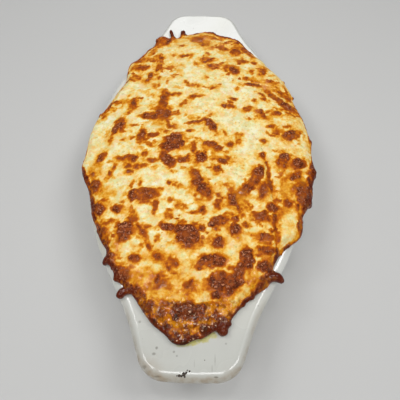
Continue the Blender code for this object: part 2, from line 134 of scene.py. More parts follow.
# Browned blisters: x, y, half length, half width, turn in degrees from +X, heat
BLISTERS = (
    # far end, left
    (-34, 111, 8, 5, 35, .74), (-42, 97, 6, 3, 60, .6), (-49.2, 86.5, 4.6, 4, 40, .5),
    (-51, 77.5, 8, 4.4, 0, .6), (-54, 65.5, 5, 4.6, 0, .6), (-42, 65.6, 6.4, 2.8, 72, .8),
    (-34.2, 86, 7, 2.2, 95, .7), (-35, 75.8, 5.3, 3, 78, .74), (-39, 86.8, 3.5, 2.4, 60, .62),
    (-27, 76, 4.5, 2.8, 10, .5), (-18, 103.4, 2.5, 1.8, 0, .52), (-14, 90.5, 3.4, 1.7, 0, .96),
    (-24, 92.5, 3, 2, 0, .34), (-6, 113.5, 5, 3.2, 15, .48), (2, 105.5, 4.5, 3.8, 0, .62),
    (-34, 63.4, 2, 2.3, 0, .5), (-37.5, 54.8, 1.6, 1.3, 0, .4), (-34, 55.3, 1.5, 1.4, 0, .42),
    (-23, 64.5, 3, 1.8, 0, .28), (-11.5, 57, 3.4, 1.2, -38, .6), (-6, 53.8, 5, 1.6, -12, .62),
    (3, 52.8, 3, 1, 0, .42), (8, 52.3, 2.8, 1.8, 10, .64), (-6, 81.5, 3, 1.8, 0, .28),
    (-28, 45, 4.5, 2.5, -45, .64), (-20.4, 45, 4.4, 1.4, 10, .62), (-5, 43, 5, 1.7, 5, .76),
    (-12.5, 36, 3.6, 2, 40, .56), (-18, 79, 1.5, 2, 0, .3),
    # far end, right
    (7.3, 123.5, 3.4, 1.6, 0, .8), (11, 116, 4, 1.8, -10, .54), (20, 117.5, 8, 1.6, -15, .6),
    (22.6, 111, 2, 2, 0, .8), (30.5, 111.5, 4, 1.8, -20, .66), (15, 101.8, 4.8, 2.4, -8, .92),
    (27.4, 97, 4.6, 4, 0, .72), (36, 101, 4.4, 3.4, -30, .8), (40, 94.5, 5, 2.2, -50, .66),
    (42.2, 85, 2.6, 2.8, 0, .64), (32, 85, 4, 2.6, -10, .72), (36.5, 84.2, 2, 1.8, 0, .56),
    (4, 85, 6, 3.8, -10, .78), (4.2, 92.2, 2.6, 2, 0, .6), (8.6, 77.8, 5.6, 3, 4, .88),
    (6, 71.5, 2, 1.8, 0, .44), (19.2, 76, 3.2, 2.6, 0, .74), (25.8, 72, 4.4, 3.6, -25, .82),
    (49, 75, 5.5, 3.2, 55, .54), (54.4, 64, 3.6, 2.4, -10, .84), (40, 72.4, 2.5, 2, 0, .32),
    (36, 65.4, 3, 1.8, 10, .68), (40, 65.2, 1.8, 2.6, 0, .56), (40, 58.8, 7, 2.4, -4, .74),
    (31, 57.5, 2, 1.3, 0, .46), (58, 55, 6, 3, -45, .4), (61, 50.8, 3, 2.6, 0, .66),
    (66, 56, 4, 1.6, 100, .5), (24, 60.4, 2, 1.2, 80, .44), (28, 52.4, 2.6, 1.8, 60, .48),
    (46, 48, 5, 1.3, -42, .62), (47, 43, 2.6, 1.8, 0, .7), (57, 46, 8, 2.6, -40, .7),
    (67, 47.4, 4, 2, -50, .66), (3, 64, 2, 1.4, 0, .52), (25, 42, 3.4, 1.6, -5, .6),
    (22, 38.4, 2.2, 1.6, 0, .42),
    # middle, left
    (-72, 34, 8, 2.2, 58, .78), (-64, 39.5, 4, 2.6, 20, .62), (-51, 36.3, 7, 3, 80, .72),
    (-54.6, 28.4, 4.6, 1.6, 66, .56), (-28.6, 36, 9.5, 3.8, 88, .76), (-35, 23.5, 9, 3.6, 0, .76),
    (-27, 24.5, 5.5, 6, 0, .78), (-43, 24, 4, 2.4, 0, .48), (-18.5, 26, 3, 3, 0, .6),
    (-24, 16.5, 5, 1.8, -55, .58), (-20.6, 13, 3.2, 1.6, 10, .64), (-25, 8.5, 1.8, 1.7, 0, .62),
    (-60.8, 15.2, 9, 3.5, 66, .84), (-57, 16.5, 4, 2.4, 90, .5), (-64, 3.5, 5, 2.2, 80, .46),
    (-49, 15.4, 3.6, 1.2, 0, .46), (-42.4, 6.4, 6, 3.4, 85, .82), (-42, 0, 3, 2, 0, .5),
    (-33, 5, 5.2, 1.9, 10, .68), (-36, -2.5, 5, 1.5, -28, .32), (-49, 3.4, 3, 1.8, 30, .46),
    (-17.8, -1, 6.8, 5.6, 15, .95), (-23.6, -5, 4.8, 3.2, -20, .86), (-21.8, -16.2, 7.2, 3.8, -42, .88),
    (-11, -16, 5.5, 2.3, 4, .6), (-68.5, -11.8, 5, 3, 65, .78), (-55.4, -13.4, 4, 2, -20, .72),
    (-51.6, -13, 2.6, 2, 0, .68), (-47, -14.2, 4, 3.4, 0, .74), (-43.5, -20.6, 3, 2.6, 0, .62),
    (-48, -20.5, 3.5, 2, 0, .58), (-38, -20, 4, 1.8, 5, .46), (-48, -25.6, 2.8, 2.4, 0, .58),
    (-37.6, -10.8, 2.4, 2.4, 0, .6), (-31.6, -16, 4, 2, -8, .6), (-60, -25, 5.8, 1.8, 66, .56),
    (-4, -5.4, 5.2, 2.8, 90, .54), (-7, 9, 3, 1.4, 0, .48), (-73, -26, 3.5, 2, 0, .6),
    (-70, -34.6, 6, 3.6, 100, .74), (-20, -33.5, 2, 1.8, 0, .52), (-14, -35.6, 3.2, 1.4, -20, .6),
    (-30, -22, 2.5, 2, 0, .28), (-35.4, -42.8, 10.4, 4.4, 2, .86), (-42.4, -43.4, 4, 3.2, 0, .86),
    (-44, -35.4, 3.5, 1.4, 80, .58), (-38.8, -34.8, 4, 1, 92, .54), (-2.5, -26.3, 4, 3, 0, .5),
    (-56, 1.8, 1.8, 1.1, 0, .5),
    # middle, right
    (-4, 17.2, 6.5, 1.5, 12, .68), (5, 18.6, 4, 1.8, -15, .7), (7.6, 13.8, 7, 3, -62, .84),
    (8, 24.4, 2.6, 1.2, 60, .5), (21, 34, 5.4, 2.5, -4, .9), (35, 32.2, 4, 3.2, 20, .7),
    (43, 31, 3.6, 2.6, 0, .72), (46.2, 27, 3.8, 2.3, -50, .76), (37, 22.6, 3, 1.3, 0, .42),
    (56, 29.2, 4.2, 2.2, 12, .66), (51, 30.8, 2.4, 1.5, 0, .52), (65.2, 38.2, 6.4, 3.6, -25, .78),
    (71, 37, 4, 2, -50, .62), (67, 29.6, 3, 1.4, -10, .44), (71, 28, 1.3, 1.1, 0, .6),
    (51.5, 17.6, 4, 2.2, 10, .56), (55.6, 11.6, 2.4, 2.3, 0, .88), (52, 8.8, 4.4, 1.2, -25, .66),
    (65.8, 9.8, 9.2, 4.2, 36, .88), (64, 18.5, 2.2, 1.3, 0, .28), (77.8, 4, 2.2, 1.2, 0, .62),
    (80.6, 9, 2, 1.5, 90, .86), (44.5, 2.6, 2.3, 2.3, 0, .68), (27.2, 5.7, 3.4, 4.2, 0, .7),
    (27, .2, 2.3, 2.8, 0, .7), (21.2, -1.6, 2.8, 2.6, 30, .8), (18, 6.5, 4, 1.3, 110, .38),
    (7.2, -1.8, 4.8, 2.8, -6, .86), (12, -6.4, 3.2, 2.6, -40, .62), (1, -13.6, 4.6, 4.4, 0, .92),
    (16.6, -16, 3.6, 2.4, 5, .88), (19.8, -15.6, 4, 1.1, -45, .32), (59, -10.8, 4.6, 4.2, -30, .86),
    (56.5, -15.6, 4.4, 3.2, 0, .82), (69, -13.8, 5.6, 4.2, -5, .88), (79, -17, 4.5, 2.6, 95, .82),
    (44, -9.4, 3.2, 2.8, 90, .68), (46, -16, 5, 1, 98, .56), (48, -26, 8, 1.5, 98, .74),
    (38.2, -27, 9, 4.2, 62, .9), (32.5, -36.5, 5.5, 3.2, 45, .82), (12.6, -22, 3, 3.1, 0, .78),
    (7.5, -22, 3, 1, 0, .42), (65.6, -24.3, 5.4, 2.4, 35, .82), (57, -22.5, 4.5, 1.5, 65, .42),
    (76.5, -24.5, 5, 2.4, 75, .8), (70.5, -38.5, 8.5, 6.6, 85, .93), (-1, -32, 5.5, 3.6, -70, .84),
    (4, -40.4, 6.2, 4.4, -60, .86), (-4.5, -36.5, 4, 2.2, 90, .5), (18, -35.2, 3.6, 1.8, 5, .58),
    (22, -44.5, 5.6, 3.4, -75, .84), (26.5, -51, 4, 1, 100, .68), (43, -37, 5.6, 3.3, 80, .84),
    (47.5, -33, 5, 2.2, 100, .78), (58.3, -45.8, 3.4, 2.6, 90, .7), (70, -27.5, 4.5, 2.6, 0, .3),
    # near end, left
    (-64.7, -52, 5, 4.2, -45, .8), (-52, -52.8, 4.4, 2.4, -6, .7), (-49, -48.5, 1.5, 1, 0, .52),
    (-42, -54.5, 4.5, 1.8, 100, .6), (-41.2, -59.6, 4.6, 3, 0, .76), (-35, -67.5, 5.5, 1.8, -55, .8),
    (-30, -76, 6, 1.7, -60, .6), (-23, -84.4, 4.2, 2.4, -20, .9), (-27.5, -51.4, 5.2, 2.2, 78, .72),
    (-18, -46.5, 2.6, 1.9, 70, .48), (-10.6, -50.2, 3.2, 1.3, -8, .52), (-19, -57.5, 3, 2.8, 0, .44),
    (-45, -66.8, 5.6, 5.4, 0, .88), (-45.5, -72.5, 4, 3, 0, .84), (-61, -67, 4.5, 3, -45, .8),
    (-55, -60.5, 5, 1.6, -5, .42), (-58, -73.5, 5, 2.6, 100, .62), (-33.4, -64.4, 3.4, 1.6, 0, .6),
    (-18.4, -65, 6.2, 2.5, -10, .82), (-4.8, -71.6, 6.6, 7.2, 0, .96), (-11.5, -67.4, 4.2, 3, 0, .78),
    (-25, -72.4, 2.2, 2.8, 0, .5), (-37.4, -85, 3.8, 3.6, 0, .84), (-14.4, -89.2, 4.2, 5, 0, .79),
    (-53, -86, 4.2, 4.8, 0, .88), (-44, -95.5, 6.4, 5, -50, .93), (-21, -98, 5.6, 3, 62, .88),
    (-16, -100.5, 2.5, 1.4, 90, .6), (-4.2, -102.8, 4.9, 4.1, 75, .86), (-33, -107, 7, 3.4, -48, .92),
    (-28, -113.5, 6, 2.6, -46, .86), (-4.2, -115, 8.6, 4, 0, .9), (-14, -111.5, 3, 1.8, 20, .86),
    # near end, right
    (13, -49.5, 3.4, 3.2, 0, .6), (3, -53.8, 2.6, 1.8, 5, .76), (-2, -55.5, 3, 1.5, 0, .44),
    (49, -49, 4.4, 3.6, -15, .88), (40, -55.6, 7.4, 3.1, -8, .82), (49.7, -60, 8, 1.8, 92, .66),
    (50, -71.5, 5, 1.6, 86, .6), (13.8, -61, 7.2, 3.4, 18, .82), (23.4, -66.4, 3.9, 4.6, 0, .84),
    (31, -62.2, 3.2, 1.8, -20, .72), (42.8, -69.8, 6, 2.8, 4, .84), (34, -68.5, 3, 1, 0, .52),
    (12.2, -74.8, 4, 4.2, 0, .88), (42.6, -78.4, 6.2, 2.8, -4, .88), (9, -87.3, 8.8, 4.1, 4, .92),
    (30.6, -84.6, 7, 4.6, 97, .93), (25, -92, 5.5, 3.8, 60, .95), (14, -98.5, 6.5, 6.2, -10, .97),
    (21.5, -98.5, 4.5, 5, 0, 1), (20, -104, 2.5, 2, 0, .86), (12, -106.5, 3.5, 2.5, 0, .9),
    (42.4, -88.6, 6, 3.8, 12, .88), (42, -96.5, 6.5, 3, 40, .88), (37, -103, 7, 2.3, 45, .92),
    (25.4, -113.4, 6.2, 2, 45, .86), (66.6, -60, 9, 2.4, 84, .92), (70, -49, 3, 2.4, 45, .88),
    (16.5, -124.2, 3.6, 3.6, 0, .94), (6, -124.5, 4.5, 3.2, 10, .94), (-6, -125.5, 7, 3, -5, .72),
    (14, -114.5, 4, 3, 0, .5), (56.5, -74.2, 6.5, 1.2, 42, .68), (17.4, -112.8, 5, .8, -40, .6),
    (40.5, 41.5, 1.5, 1.8, 0, .55),
    # smaller ones between them
    (27.2, -98, 2.3, 3.2, 0, .9), (65.5, -47.5, 2, 2.5, 0, .8), (-50.5, -63.2, 2.4, 2, 0, .84),
    (23.5, -59, 2.6, 2, 0, .76), (-1.4, -105.4, 2.6, 2.2, 0, .78), (3.4, -91, 6.6, 1.8, -8, .46),
    (42, -73.8, 4, 1.2, 0, .64), (-57.8, -62.6, 3.4, 1.8, 0, .8), (19.5, -55.5, 2.4, 1.4, 0, .6),
    (52, -43.6, 2.4, 1.4, 0, .66), (42.5, -53, 3, 1.2, 0, .62), (31, -49, 4.6, 4.1, 0, .54),
    (-73, 26, 2.6, 1.6, 60, .66), (16.8, -106, 2.6, 2, 0, .9), (2.4, -66, 2.4, 2.2, 0, .66),
    (-25, -38.6, 2.6, 1.6, 0, .6), (-67, 33.5, 2.4, 1.6, 0, .5), (-39.2, -90.8, 2.6, 2, 0, .66),
    (68.6, -20.4, 2.2, 1.8, 0, .8), (3.5, 118.4, 4, 1.6, 0, .58), (-7.5, -12.5, 2, 1.8, 0, .52),
    (62.5, -43.4, 2, 1.6, 0, .62), (-38.4, 34.6, 1.8, 1.4, 0, .56), (-9.5, -62.4, 2.4, 1.8, 0, .62),
    (11.5, -66.6, 2, 1.4, 0, .6), (8, -103, 2.2, 2, 0, .84), (38, -82, 3, 1.4, 0, .58),
    (46.8, -65, 2, 1.2, 0, .56), (-33, -48.5, 6, 1.5, 0, .46), (1.4, -76.5, 2.4, 2.4, 0, .7),
    (13, -42.6, 2.6, 2, 0, .34), (50.2, -77.6, 2, 2, 0, .8), (-33.5, -76.5, 1.8, 1.6, 0, .5),
    (20.5, -90, 2.4, 1.6, 0, .58), (29, -56, 2, 2, 0, .5), (-29.5, -104, 2.4, 2, 0, .66),
    (-18, -54, 2.4, 1.6, 0, .42), (30.5, -92, 2.2, 2, 0, .7), (19.6, -12.6, 1.6, 1.4, 0, .5),
    (3.6, 100.4, 2.4, 1.4, 0, .56), (-38.5, -81, 2, 1.8, 0, .72), (41, 25.4, 2, 1.4, 0, .5),
    (25, -86, 1.8, 2, 0, .56), (71, 15.2, 2.6, 2, 0, .76), (-61, -46.4, 2.6, 1.6, 0, .5),
    (2.3, 89.6, 2, 1.4, 0, .5), (52.4, -4.4, 1.8, 1.4, 0, .36), (59.8, 33.8, 2, 1.6, 0, .5),
    (-32, 42.8, 2, 1.4, 0, .46), (-15.2, -13.2, 2, 1.4, 0, .5), (-22.8, -62, 2.2, 1.6, 0, .52),
    (-12.2, -93, 2.2, 2, 0, .9), (6.4, -92, 1.8, 1.4, 0, .56), (-17, -25.4, 1.8, 1.2, 0, .36),
    (73, -9.2, 1.8, 1.4, 0, .56), (-1.8, -43, 1.8, 1.4, 0, .46), (-25, -10.2, 2.4, 2, 0, .7),
    (-40.4, 27, 2.2, 1.6, 0, .5), (24, -109, 1.8, 1.6, 0, .5),
)

# Browning of the blanket's edge: degrees round from +X, width and heat
EDGE_BROWNING = (
    (0, .3, .72), (6, .5, .84), (12, .8, .84), (22, .9, .86), (30, .3, .8), (42, .2, .5), (52, .6, .46),
    (62, 1.5, .52), (68, 3.5, .62), (75, 3.6, .74), (85, 4, .75), (95, 3.2, .7), (105, 4, .64),
    (115, 4.5, .6), (125, 3.5, .6), (133, 1, .42), (145, .6, .34), (155, 1.8, .6), (165, .5, .32),
    (180, .7, .42), (190, 2, .74), (200, 3.2, .77), (215, 3, .76), (230, 3.2, .77), (240, 4.2, .82),
    (248, 4.4, .82), (258, 3.6, .76), (268, 3, .88), (280, 1.8, .76), (290, 2.4, .76), (300, 2.6, .72),
    (310, 1.2, .66), (320, 1.8, .78), (330, 5, .86), (340, 4.5, .82), (350, 3, .8),
)

# Where the cheese stayed smooth and pale: x, y, half length, half width, turn
PALE_PATCHES = (
    (32, 3, 24, 11, 85), (23, -27, 8, 6, 0), (-30, -27, 11, 6, 0), (-76, -3, 8, 5, 90),
    (-35, 14, 9, 4, 20), (-2, 69, 14, 7, 0), (12, 34, 13, 6, 100), (60, -63, 12, 6, 80),
    (-18, -80, 7, 5, 0), (-35, -57, 8, 5, -60), (-60, 48, 10, 5, 60), (58, 2, 8, 5, 0),
    (-28, -92, 13, 9, 0), (-10, -92, 7, 8, 0), (-42, -78, 8, 7, 0), (-4, -106, 9, 4, 0),
    (74, 18, 6, 12, -20), (75, 2, 6, 8, 0), (30, 50, 10, 6, 0), (-58, -2, 8, 6, 0), (8, -93, 4, 3, 0),
    (3, -79, 7, 3, 0), (33, -50, 6, 8, 20), (-52, -60, 5, 4, 0), (-50, 47.5, 6, 3, 0),
    (-33.5, 41, 2.5, 4, 0), (-9, -33, 5, 7, 0), (-7, -45, 4, 3, 0), (-30.5, -11.4, 3, 2.4, 0),
    (-22, -48.5, 2.5, 2.5, 0), (-52, 8, 3, 4, 0), (57, -27.5, 3, 3, 0), (-45.5, 32, 3, 5, 0),
    (-29.5, -85.5, 3, 3, 0), (-1, 13.5, 4, 2.5, 0), (11, -17, 3, 2, 0), (-32.5, -81.5, 3, 3, 0),
    (-12, -39, 3, 2.5, 0), (24.5, -21.5, 3, 3, 0), (-12, -9.5, 3, 2, 0), (-70.5, -19.8, 2.5, 2.5, 0),
    (0, 78.5, 3, 2, 0), (-1, 23.5, 3, 2, 0), (-43.5, 56.5, 3, 3, 0), (-5, -81.5, 3.5, 3, 0),
    (15.2, 75.6, 2.4, 2, 0), (32.5, 71.5, 3, 3, 0), (6, -57, 2.4, 2, 0), (7, -52, 2.4, 2.4, 0),
    (2, -18.8, 3, 2, 0), (13.5, -29.3, 3, 2, 0), (36.5, -74.8, 3, 1.6, 0), (34.5, -71.5, 2.5, 2, 0),
    (62.4, 14.6, 2.4, 2, 0), (66, 22, 3, 2, 0), (.4, -1.2, 2, 2, 0), (6.5, -16.5, 2, 2, 0),
    (20.3, 97, 2.5, 2.5, 0), (-1, -60.6, 3, 2.2, 0), (-17.6, -84.2, 2.6, 2.2, 0), (-1.4, -83.6, 3, 2.4, 0),
    (24.4, -15, 2.4, 2, 0), (-4.8, -51, 2.6, 2, 0), (33, -96.8, 1.8, 1.8, 0), (62.2, 26.2, 2.4, 2, 0),
    (22.8, 80.6, 2.4, 2, 0), (-29, 14, 2.6, 2.2, 0), (29, -108, 2.2, 2, 0), (-12.2, 28.2, 2, 2, 0),
    (-38.4, 49, 2.6, 2, 0), (58.3, 17, 2, 2, 0), (28.8, -69.4, 2, 1.8, 0), (64.6, -4.5, 2.4, 2, 0),
    (-70.4, -20, 2.4, 2, 0), (56.6, -28.4, 2.4, 2, 0), (-42, -8.6, 2, 2, 0), (-57.4, 35.6, 2.4, 2, 0),
    (-18, 63.4, 3, 2.4, 0), (15, -10.4, 2.4, 2, 0),
)

# Where oil has soaked the cheese amber: x, y, half length, half width, turn
OILY_PATCHES = (
    (59, -34, 8, 7, 80), (70, -27, 5, 4, 0), (-72, -23, 6, 8, 0), (27, -43, 6, 7, 0),
    (-24, -107, 9, 5, -35), (-20, -103, 7, 4, 0), (18, -110, 6, 5, 0), (33, -97, 5, 7, 20),
    (-52, -78, 5, 5, 0), (-30, 15, 6, 5, 0), (0, 112, 16, 7, 0), (-1, -127, 3, 2.5, 0),
    (48, 60, 9, 7, -40), (-33, -95, 8, 5, 0), (-60, -40, 7, 6, 0),
)

# Creases of the blanket between the pasta under it: points along each, then depth
CREASES = (
    (((-45, -49), (-40, -60), (-34, -69), (-29, -78), (-24, -86)), 0.8),
    (((45, -6), (46.5, -18), (49, -30), (50, -45), (50.5, -60), (50, -76)), 1.5),
    (((50, 52), (58, 43), (68, 33), (76, 30)), 1.3),
    (((10, 122), (20, 108), (24, 92), (16, 82)), 0.8),
    (((-10, -12), (-18, -8), (-28, -12), (-34, -22)), 0.8),
    (((6, -108), (13, -109.5), (17, -112.5), (21, -115.5)), 1.4),
)

# Pasta tubes that lift the blanket: x, y, half length, half width, turn, height
TUBES = (
    (38, -28, 16, 5, 60, 2), (66, 11, 12, 6, 35, 1.6), (59, 45, 12, 4.5, -42, 1.6),
    (-60, 15, 14, 5, 72, 1.7), (-28, 36, 15, 5, 85, 1.6), (-36, -42, 15, 6, 4, 1.6),
    (-22, -14, 11, 6, -45, 1.4), (8, 14, 11, 4.5, -58, 1.4), (44, -36, 9, 5.5, 80, 1.5),
    (3, -36, 13, 6, -60, 1.8), (9, -85, 13, 5.5, 4, 1.8), (30, -85, 11, 5.5, 98, 1.8),
    (-5, -68, 10, 9, 0, 2), (-45, -67, 8, 7.5, 0, 1.8), (70, -38, 10, 8, 80, 2), (42, -78, 9, 4, 4, 1.4),
    (42, -69, 9, 4, 0, 1.3), (40, -56, 9, 4, -10, 1.4), (-34, 84, 15, 4, 92, 1.4),
    (-51, 77, 10, 6, 0, 1.3), (26, 74, 9, 5, -35, 1.4), (14, -60, 9, 5, 20, 1.5), (-18, 1, 11, 8, 20, 1.8),
    (15, -98, 12, 8, 10, 2), (-5, -114, 12, 6, 0, 1.6), (-22, -97, 8, 5, -50, 1.3),
    (-16, -89, 8, 5, -30, 1.4), (57, -12, 8, 6, 60, 1.5), (69, -13, 7, 6, 0, 1.5), (24, -66, 7, 6, 0, 1.3),
)

# Patches of the saucy near end: x, y, radius and heat
TIP_PATCHES = (
    (-4.5, -115.2, 6, .85), (-9.5, -115.2, 2.8, .84), (3.6, -114, 3.6, .9), (-15, -119.5, 2.2, .46),
    (-13, -122, 2.2, .46), (-22, -116, 2.2, .72), (-25, -112.5, 3, .78), (0, -126, 2, .42),
    (-6, -127.4, 3.2, .6), (5.6, -125.5, 2.9, .96), (10, -126, 3, .9), (16.2, -125.2, 3, .84),
    (16, -121, 3.6, .9), (16.5, -114.5, 3.4, .42), (12.2, -117.8, 2.4, .84), (8, -116, 2.2, .4),
    (11, -111.5, 1.8, .56), (22.5, -109.5, 4, .36), (1.8, -108.6, 3, .27), (6, -107.6, 3.2, .25),
    (-8, -108.5, 3, .36), (-16, -107, 3.4, .33), (-23, -107.5, 3.4, .42), (-19, -126, 2.2, .84),
    (-27, -118, 2.6, .72), (-18, -111.6, 1.7, .62), (-19.5, -105.5, 3, .3), (-9.5, -128.5, 2.2, .9),
    (-1.8, -123, 1.8, .42), (-10.2, -124, 2, .52), (-14.8, -124.4, 2.2, .9), (-3.8, -129, 2, .86),
    (9.4, -120, 1.6, .56), (20.2, -114.9, 1.8, .74), (17.2, -112.2, 1.2, .6), (15, -110.6, 1.1, .56),
    (12, -123.2, 2.2, .92), (-10.6, -119, 2.2, .94), (.6, -122.6, 1.3, .82), (.5, -119.8, 1.8, .92),
    (-23.4, -117, 1.8, .78),
)

# Bubbles and folds there: x, y, half length, half width, turn, height
TIP_LUMPS = (
    (5.5, -125, 2.9, 2.8, 0, 1.3), (-5, -122.5, 4.4, 2.2, -25, 1.1), (-17, -118.5, 2, 3.8, -12, 1.1),
    (-17, -112, 2.2, 1.6, 0, .8), (0, -126, 2.1, 1.9, 0, .4), (-5, -128, 4.4, 2.2, 0, .8),
    (7, -119.5, 2.2, 3, -15, .9), (17, -114.5, 4, 3.2, -35, 1.1), (9, -114, 2, 3.6, 0, .7),
    (-23, -117, 3, 4, 30, .7), (-11, -122.5, 2.2, 2.6, 0, .7), (12, -120, 2.4, 2.4, 0, .7),
    (-1.5, -122.5, 1.8, 1.6, 0, .7), (-27, -112.5, 3.4, 3, 0, .6), (16.2, -125.2, 3, 2.8, 0, .8),
    (-5, -114.5, 7.5, 4, 0, .9), (-3, -126.5, 1.5, 1.2, 0, .6), (22, -109.5, 4.5, 4, 0, .9),
)

# Drips that ran over the edge: points along each (x, y, height above the rim), radii
DRIPS = (
    # far rim, left: two thin stalks across the ear
    (((-26.5, 118, 3.0), (-27.4, 122, 1.8), (-28.4, 126.5, 1.4), (-29.4, 129.5, 1.2)),
     (2.2, 1.7, 1.6, 1.6)),
    (((-17.5, 118.5, 3.2), (-18, 122.5, 2.6), (-18.3, 126.8, 2.0)), (3.4, 2.8, 2.4)),
    # near end: the curled arm on the left, with a gap above it
    (((-38, -102.7, 2.4), (-42, -104, 1.9), (-44.2, -105, 1.5), (-44.9, -106.3, 1.2)),
     (3.1, 2.7, 2.6, 2.7)),
    # near end, right: the finger that hangs past the rim
    (((43, -94.5, 2.6), (46.5, -93.2, 2.3), (49.4, -93.3, 1.6), (51.8, -94.8, 0.8)),
     (3.3, 3.3, 3.1, 2.2)),
    # round blobs by the near tip
    (((17, -120.5, 2.4), (16.2, -125.2, 1.2)), (3.0, 3.3)),
    (((8, -124, 2.2), (5, -127, 1.6)), (3.4, 2.6)),
    (((-10, -128.5, 1.8), (-5, -130.8, 1.2)), (2.8, 2.2)),
    (((-52, -85, 2.4), (-55.5, -85, 1.6), (-57, -86.5, 0.6)), (3.4, 2.8, 2.0)),
    # right side, the caramelised bulge and the blob above it
    (((69, -39, 3.0), (73.0, -40.5, 1.4), (74.6, -42, -0.6)), (5.0, 3.8, 2.8)),
    (((74, -33, 2.4), (76.0, -34, 0.6), (76.6, -36, -1.6)), (3.2, 2.7, 2.0)),
    (((77, -17, 3.0), (79.6, -17.5, 1.2), (80.4, -19, -0.8)), (3.8, 3.2, 2.6)),
    (((78, 9, 2.6), (80.4, 9, 1.0), (81.0, 8, -0.8)), (3.0, 2.4, 2.0)),
    # far-left corner and left shoulder
    (((-35, 114, 2.4), (-38, 118, 1.0), (-39.5, 120, -2.0)), (4.4, 3.0, 2.0)),
    (((-73, 31, 2.4), (-77, 30, 0.6), (-77.6, 29, -3.0)), (3.0, 2.3, 1.8)),
)


# ---- Plan curves -------------------------------------------------------------------
def even_steps(points, count):
    """A closed polyline read at even steps along its length."""
    closed = np.vstack([points, points[:1]])
    spans = np.hypot(*np.diff(closed, axis=0).T)
    along = np.concatenate([[0.0], np.cumsum(spans)])
    places = np.linspace(0.0, along[-1], count, endpoint=False)
    return np.column_stack([np.interp(places, along, closed[:, axis]) for axis in (0, 1)])


def smooth_closed(points, count):
    """A closed Catmull-Rom curve through the points, at even steps."""
    knots = np.asarray(points, float)
    before, after = np.roll(knots, 1, axis=0), np.roll(knots, -1, axis=0)
    later = np.roll(knots, -2, axis=0)
    fine = []
    for share in np.linspace(0.0, 1.0, 12, endpoint=False):
        square, cube = share ** 2, share ** 3
        fine.append(0.5 * (2 * knots + (after - before) * share
                           + (2 * before - 5 * knots + 4 * after - later) * square
                           + (3 * knots - before - 3 * after + later) * cube))
    curve = np.stack(fine, axis=1).reshape(-1, 2)
    return even_steps(curve, count)


def rounded(before, corner, after, radius, steps=24):
    """Points of the arc that rounds a corner."""
    back = (before - corner) / np.linalg.norm(before - corner)
    ahead = (after - corner) / np.linalg.norm(after - corner)
    opening = math.acos(float(back @ ahead))
    middle = corner + (back + ahead) / np.linalg.norm(back + ahead) * radius / math.sin(opening / 2)
    reach = radius / math.tan(opening / 2)
    first, last = corner + back * reach - middle, corner + ahead * reach - middle
    sweep = math.atan2(first[0] * last[1] - first[1] * last[0], float(first @ last))
    turns = sweep * np.linspace(0.0, 1.0, steps + 1)
    cosine, sine = np.cos(turns), np.sin(turns)
    return middle + np.column_stack([first[0] * cosine - first[1] * sine,
                                     first[0] * sine + first[1] * cosine])


def dish_outline(count):
    """The dish's outline in millimetres, anticlockwise."""
    far = list(DISH_QUARTER) + [(0.0, HALF_LENGTH / MM, EAR_BOW_RADIUS)]
    far += [(-x, y, radius) for x, y, radius in reversed(DISH_QUARTER)]
    corners = far + [(-x, -y, radius) for x, y, radius in far]
    places = [np.array(corner[:2]) for corner in corners]
    arcs = []
    for index, place in enumerate(places):
        ahead = places[(index + 1) % len(places)]
        arcs.append(rounded(places[index - 1], place, ahead, corners[index][2]))
    outline = np.vstack(arcs)
    outline[:, 1] *= HALF_LENGTH / MM / outline[:, 1].max()
    return even_steps(outline, count)


def inward(outline):
    """Unit vectors that point inwards from a closed outline."""
    along = np.roll(outline, -1, axis=0) - np.roll(outline, 1, axis=0)
    normals = np.column_stack([-along[:, 1], along[:, 0]])
    return normals / np.linalg.norm(normals, axis=1, keepdims=True)


def inset(outline, distance):
    """A closed outline moved inwards, by one distance or one for each point."""
    return outline + inward(outline) * np.reshape(distance, (-1, 1))


def oval(directions, half_sizes):
    """Where rays in the given directions leave an ellipse."""
    reach = np.hypot(directions[:, 0] / half_sizes[0], directions[:, 1] / half_sizes[1])
    return directions / reach[:, None]


def at_height(plan, height):
    """A plan ring in millimetres as points in metres."""
    heights = np.broadcast_to(np.asarray(height, float), len(plan))
    return np.column_stack([plan, heights]) * MM


# ---- Noise -------------------------------------------------------------------------
def lattice(column, row, seed):
    """A repeatable number between 0 and 1 for each cell of a square grid."""
    mixed = (column * 374761393 + row * 668265263 + seed * 974634777) & 0xFFFFFFFF
    mixed = ((mixed ^ (mixed >> 13)) * 1274126177) & 0xFFFFFFFF
    return ((mixed ^ (mixed >> 16)) & 0xFFFF) / 65535.0


def waves(x, y, size, seed):
    """Smooth noise between -1 and 1 with bumps of about the given size."""
    u, v = x / size + 37.2 * seed, y / size - 21.7 * seed
    column, row = np.floor(u).astype(np.int64), np.floor(v).astype(np.int64)
    u, v = u - column, v - row
    u, v = u * u * u * (u * (u * 6 - 15) + 10), v * v * v * (v * (v * 6 - 15) + 10)
    near = lattice(column, row, seed) * (1 - u) + lattice(column + 1, row, seed) * u
    far = lattice(column, row + 1, seed) * (1 - u) + lattice(column + 1, row + 1, seed) * u
    return (near * (1 - v) + far * v) * 2 - 1


def rough_waves(x, y, size, seed, octaves=3):
    """Noise with finer noise on it."""
    total, weight, reach = 0.0, 1.0, 0.0
    for octave in range(octaves):
        total = total + waves(x, y, size / 2 ** octave, seed + octave * 7) * weight
        reach += weight
        weight *= 0.5
    return total / reach


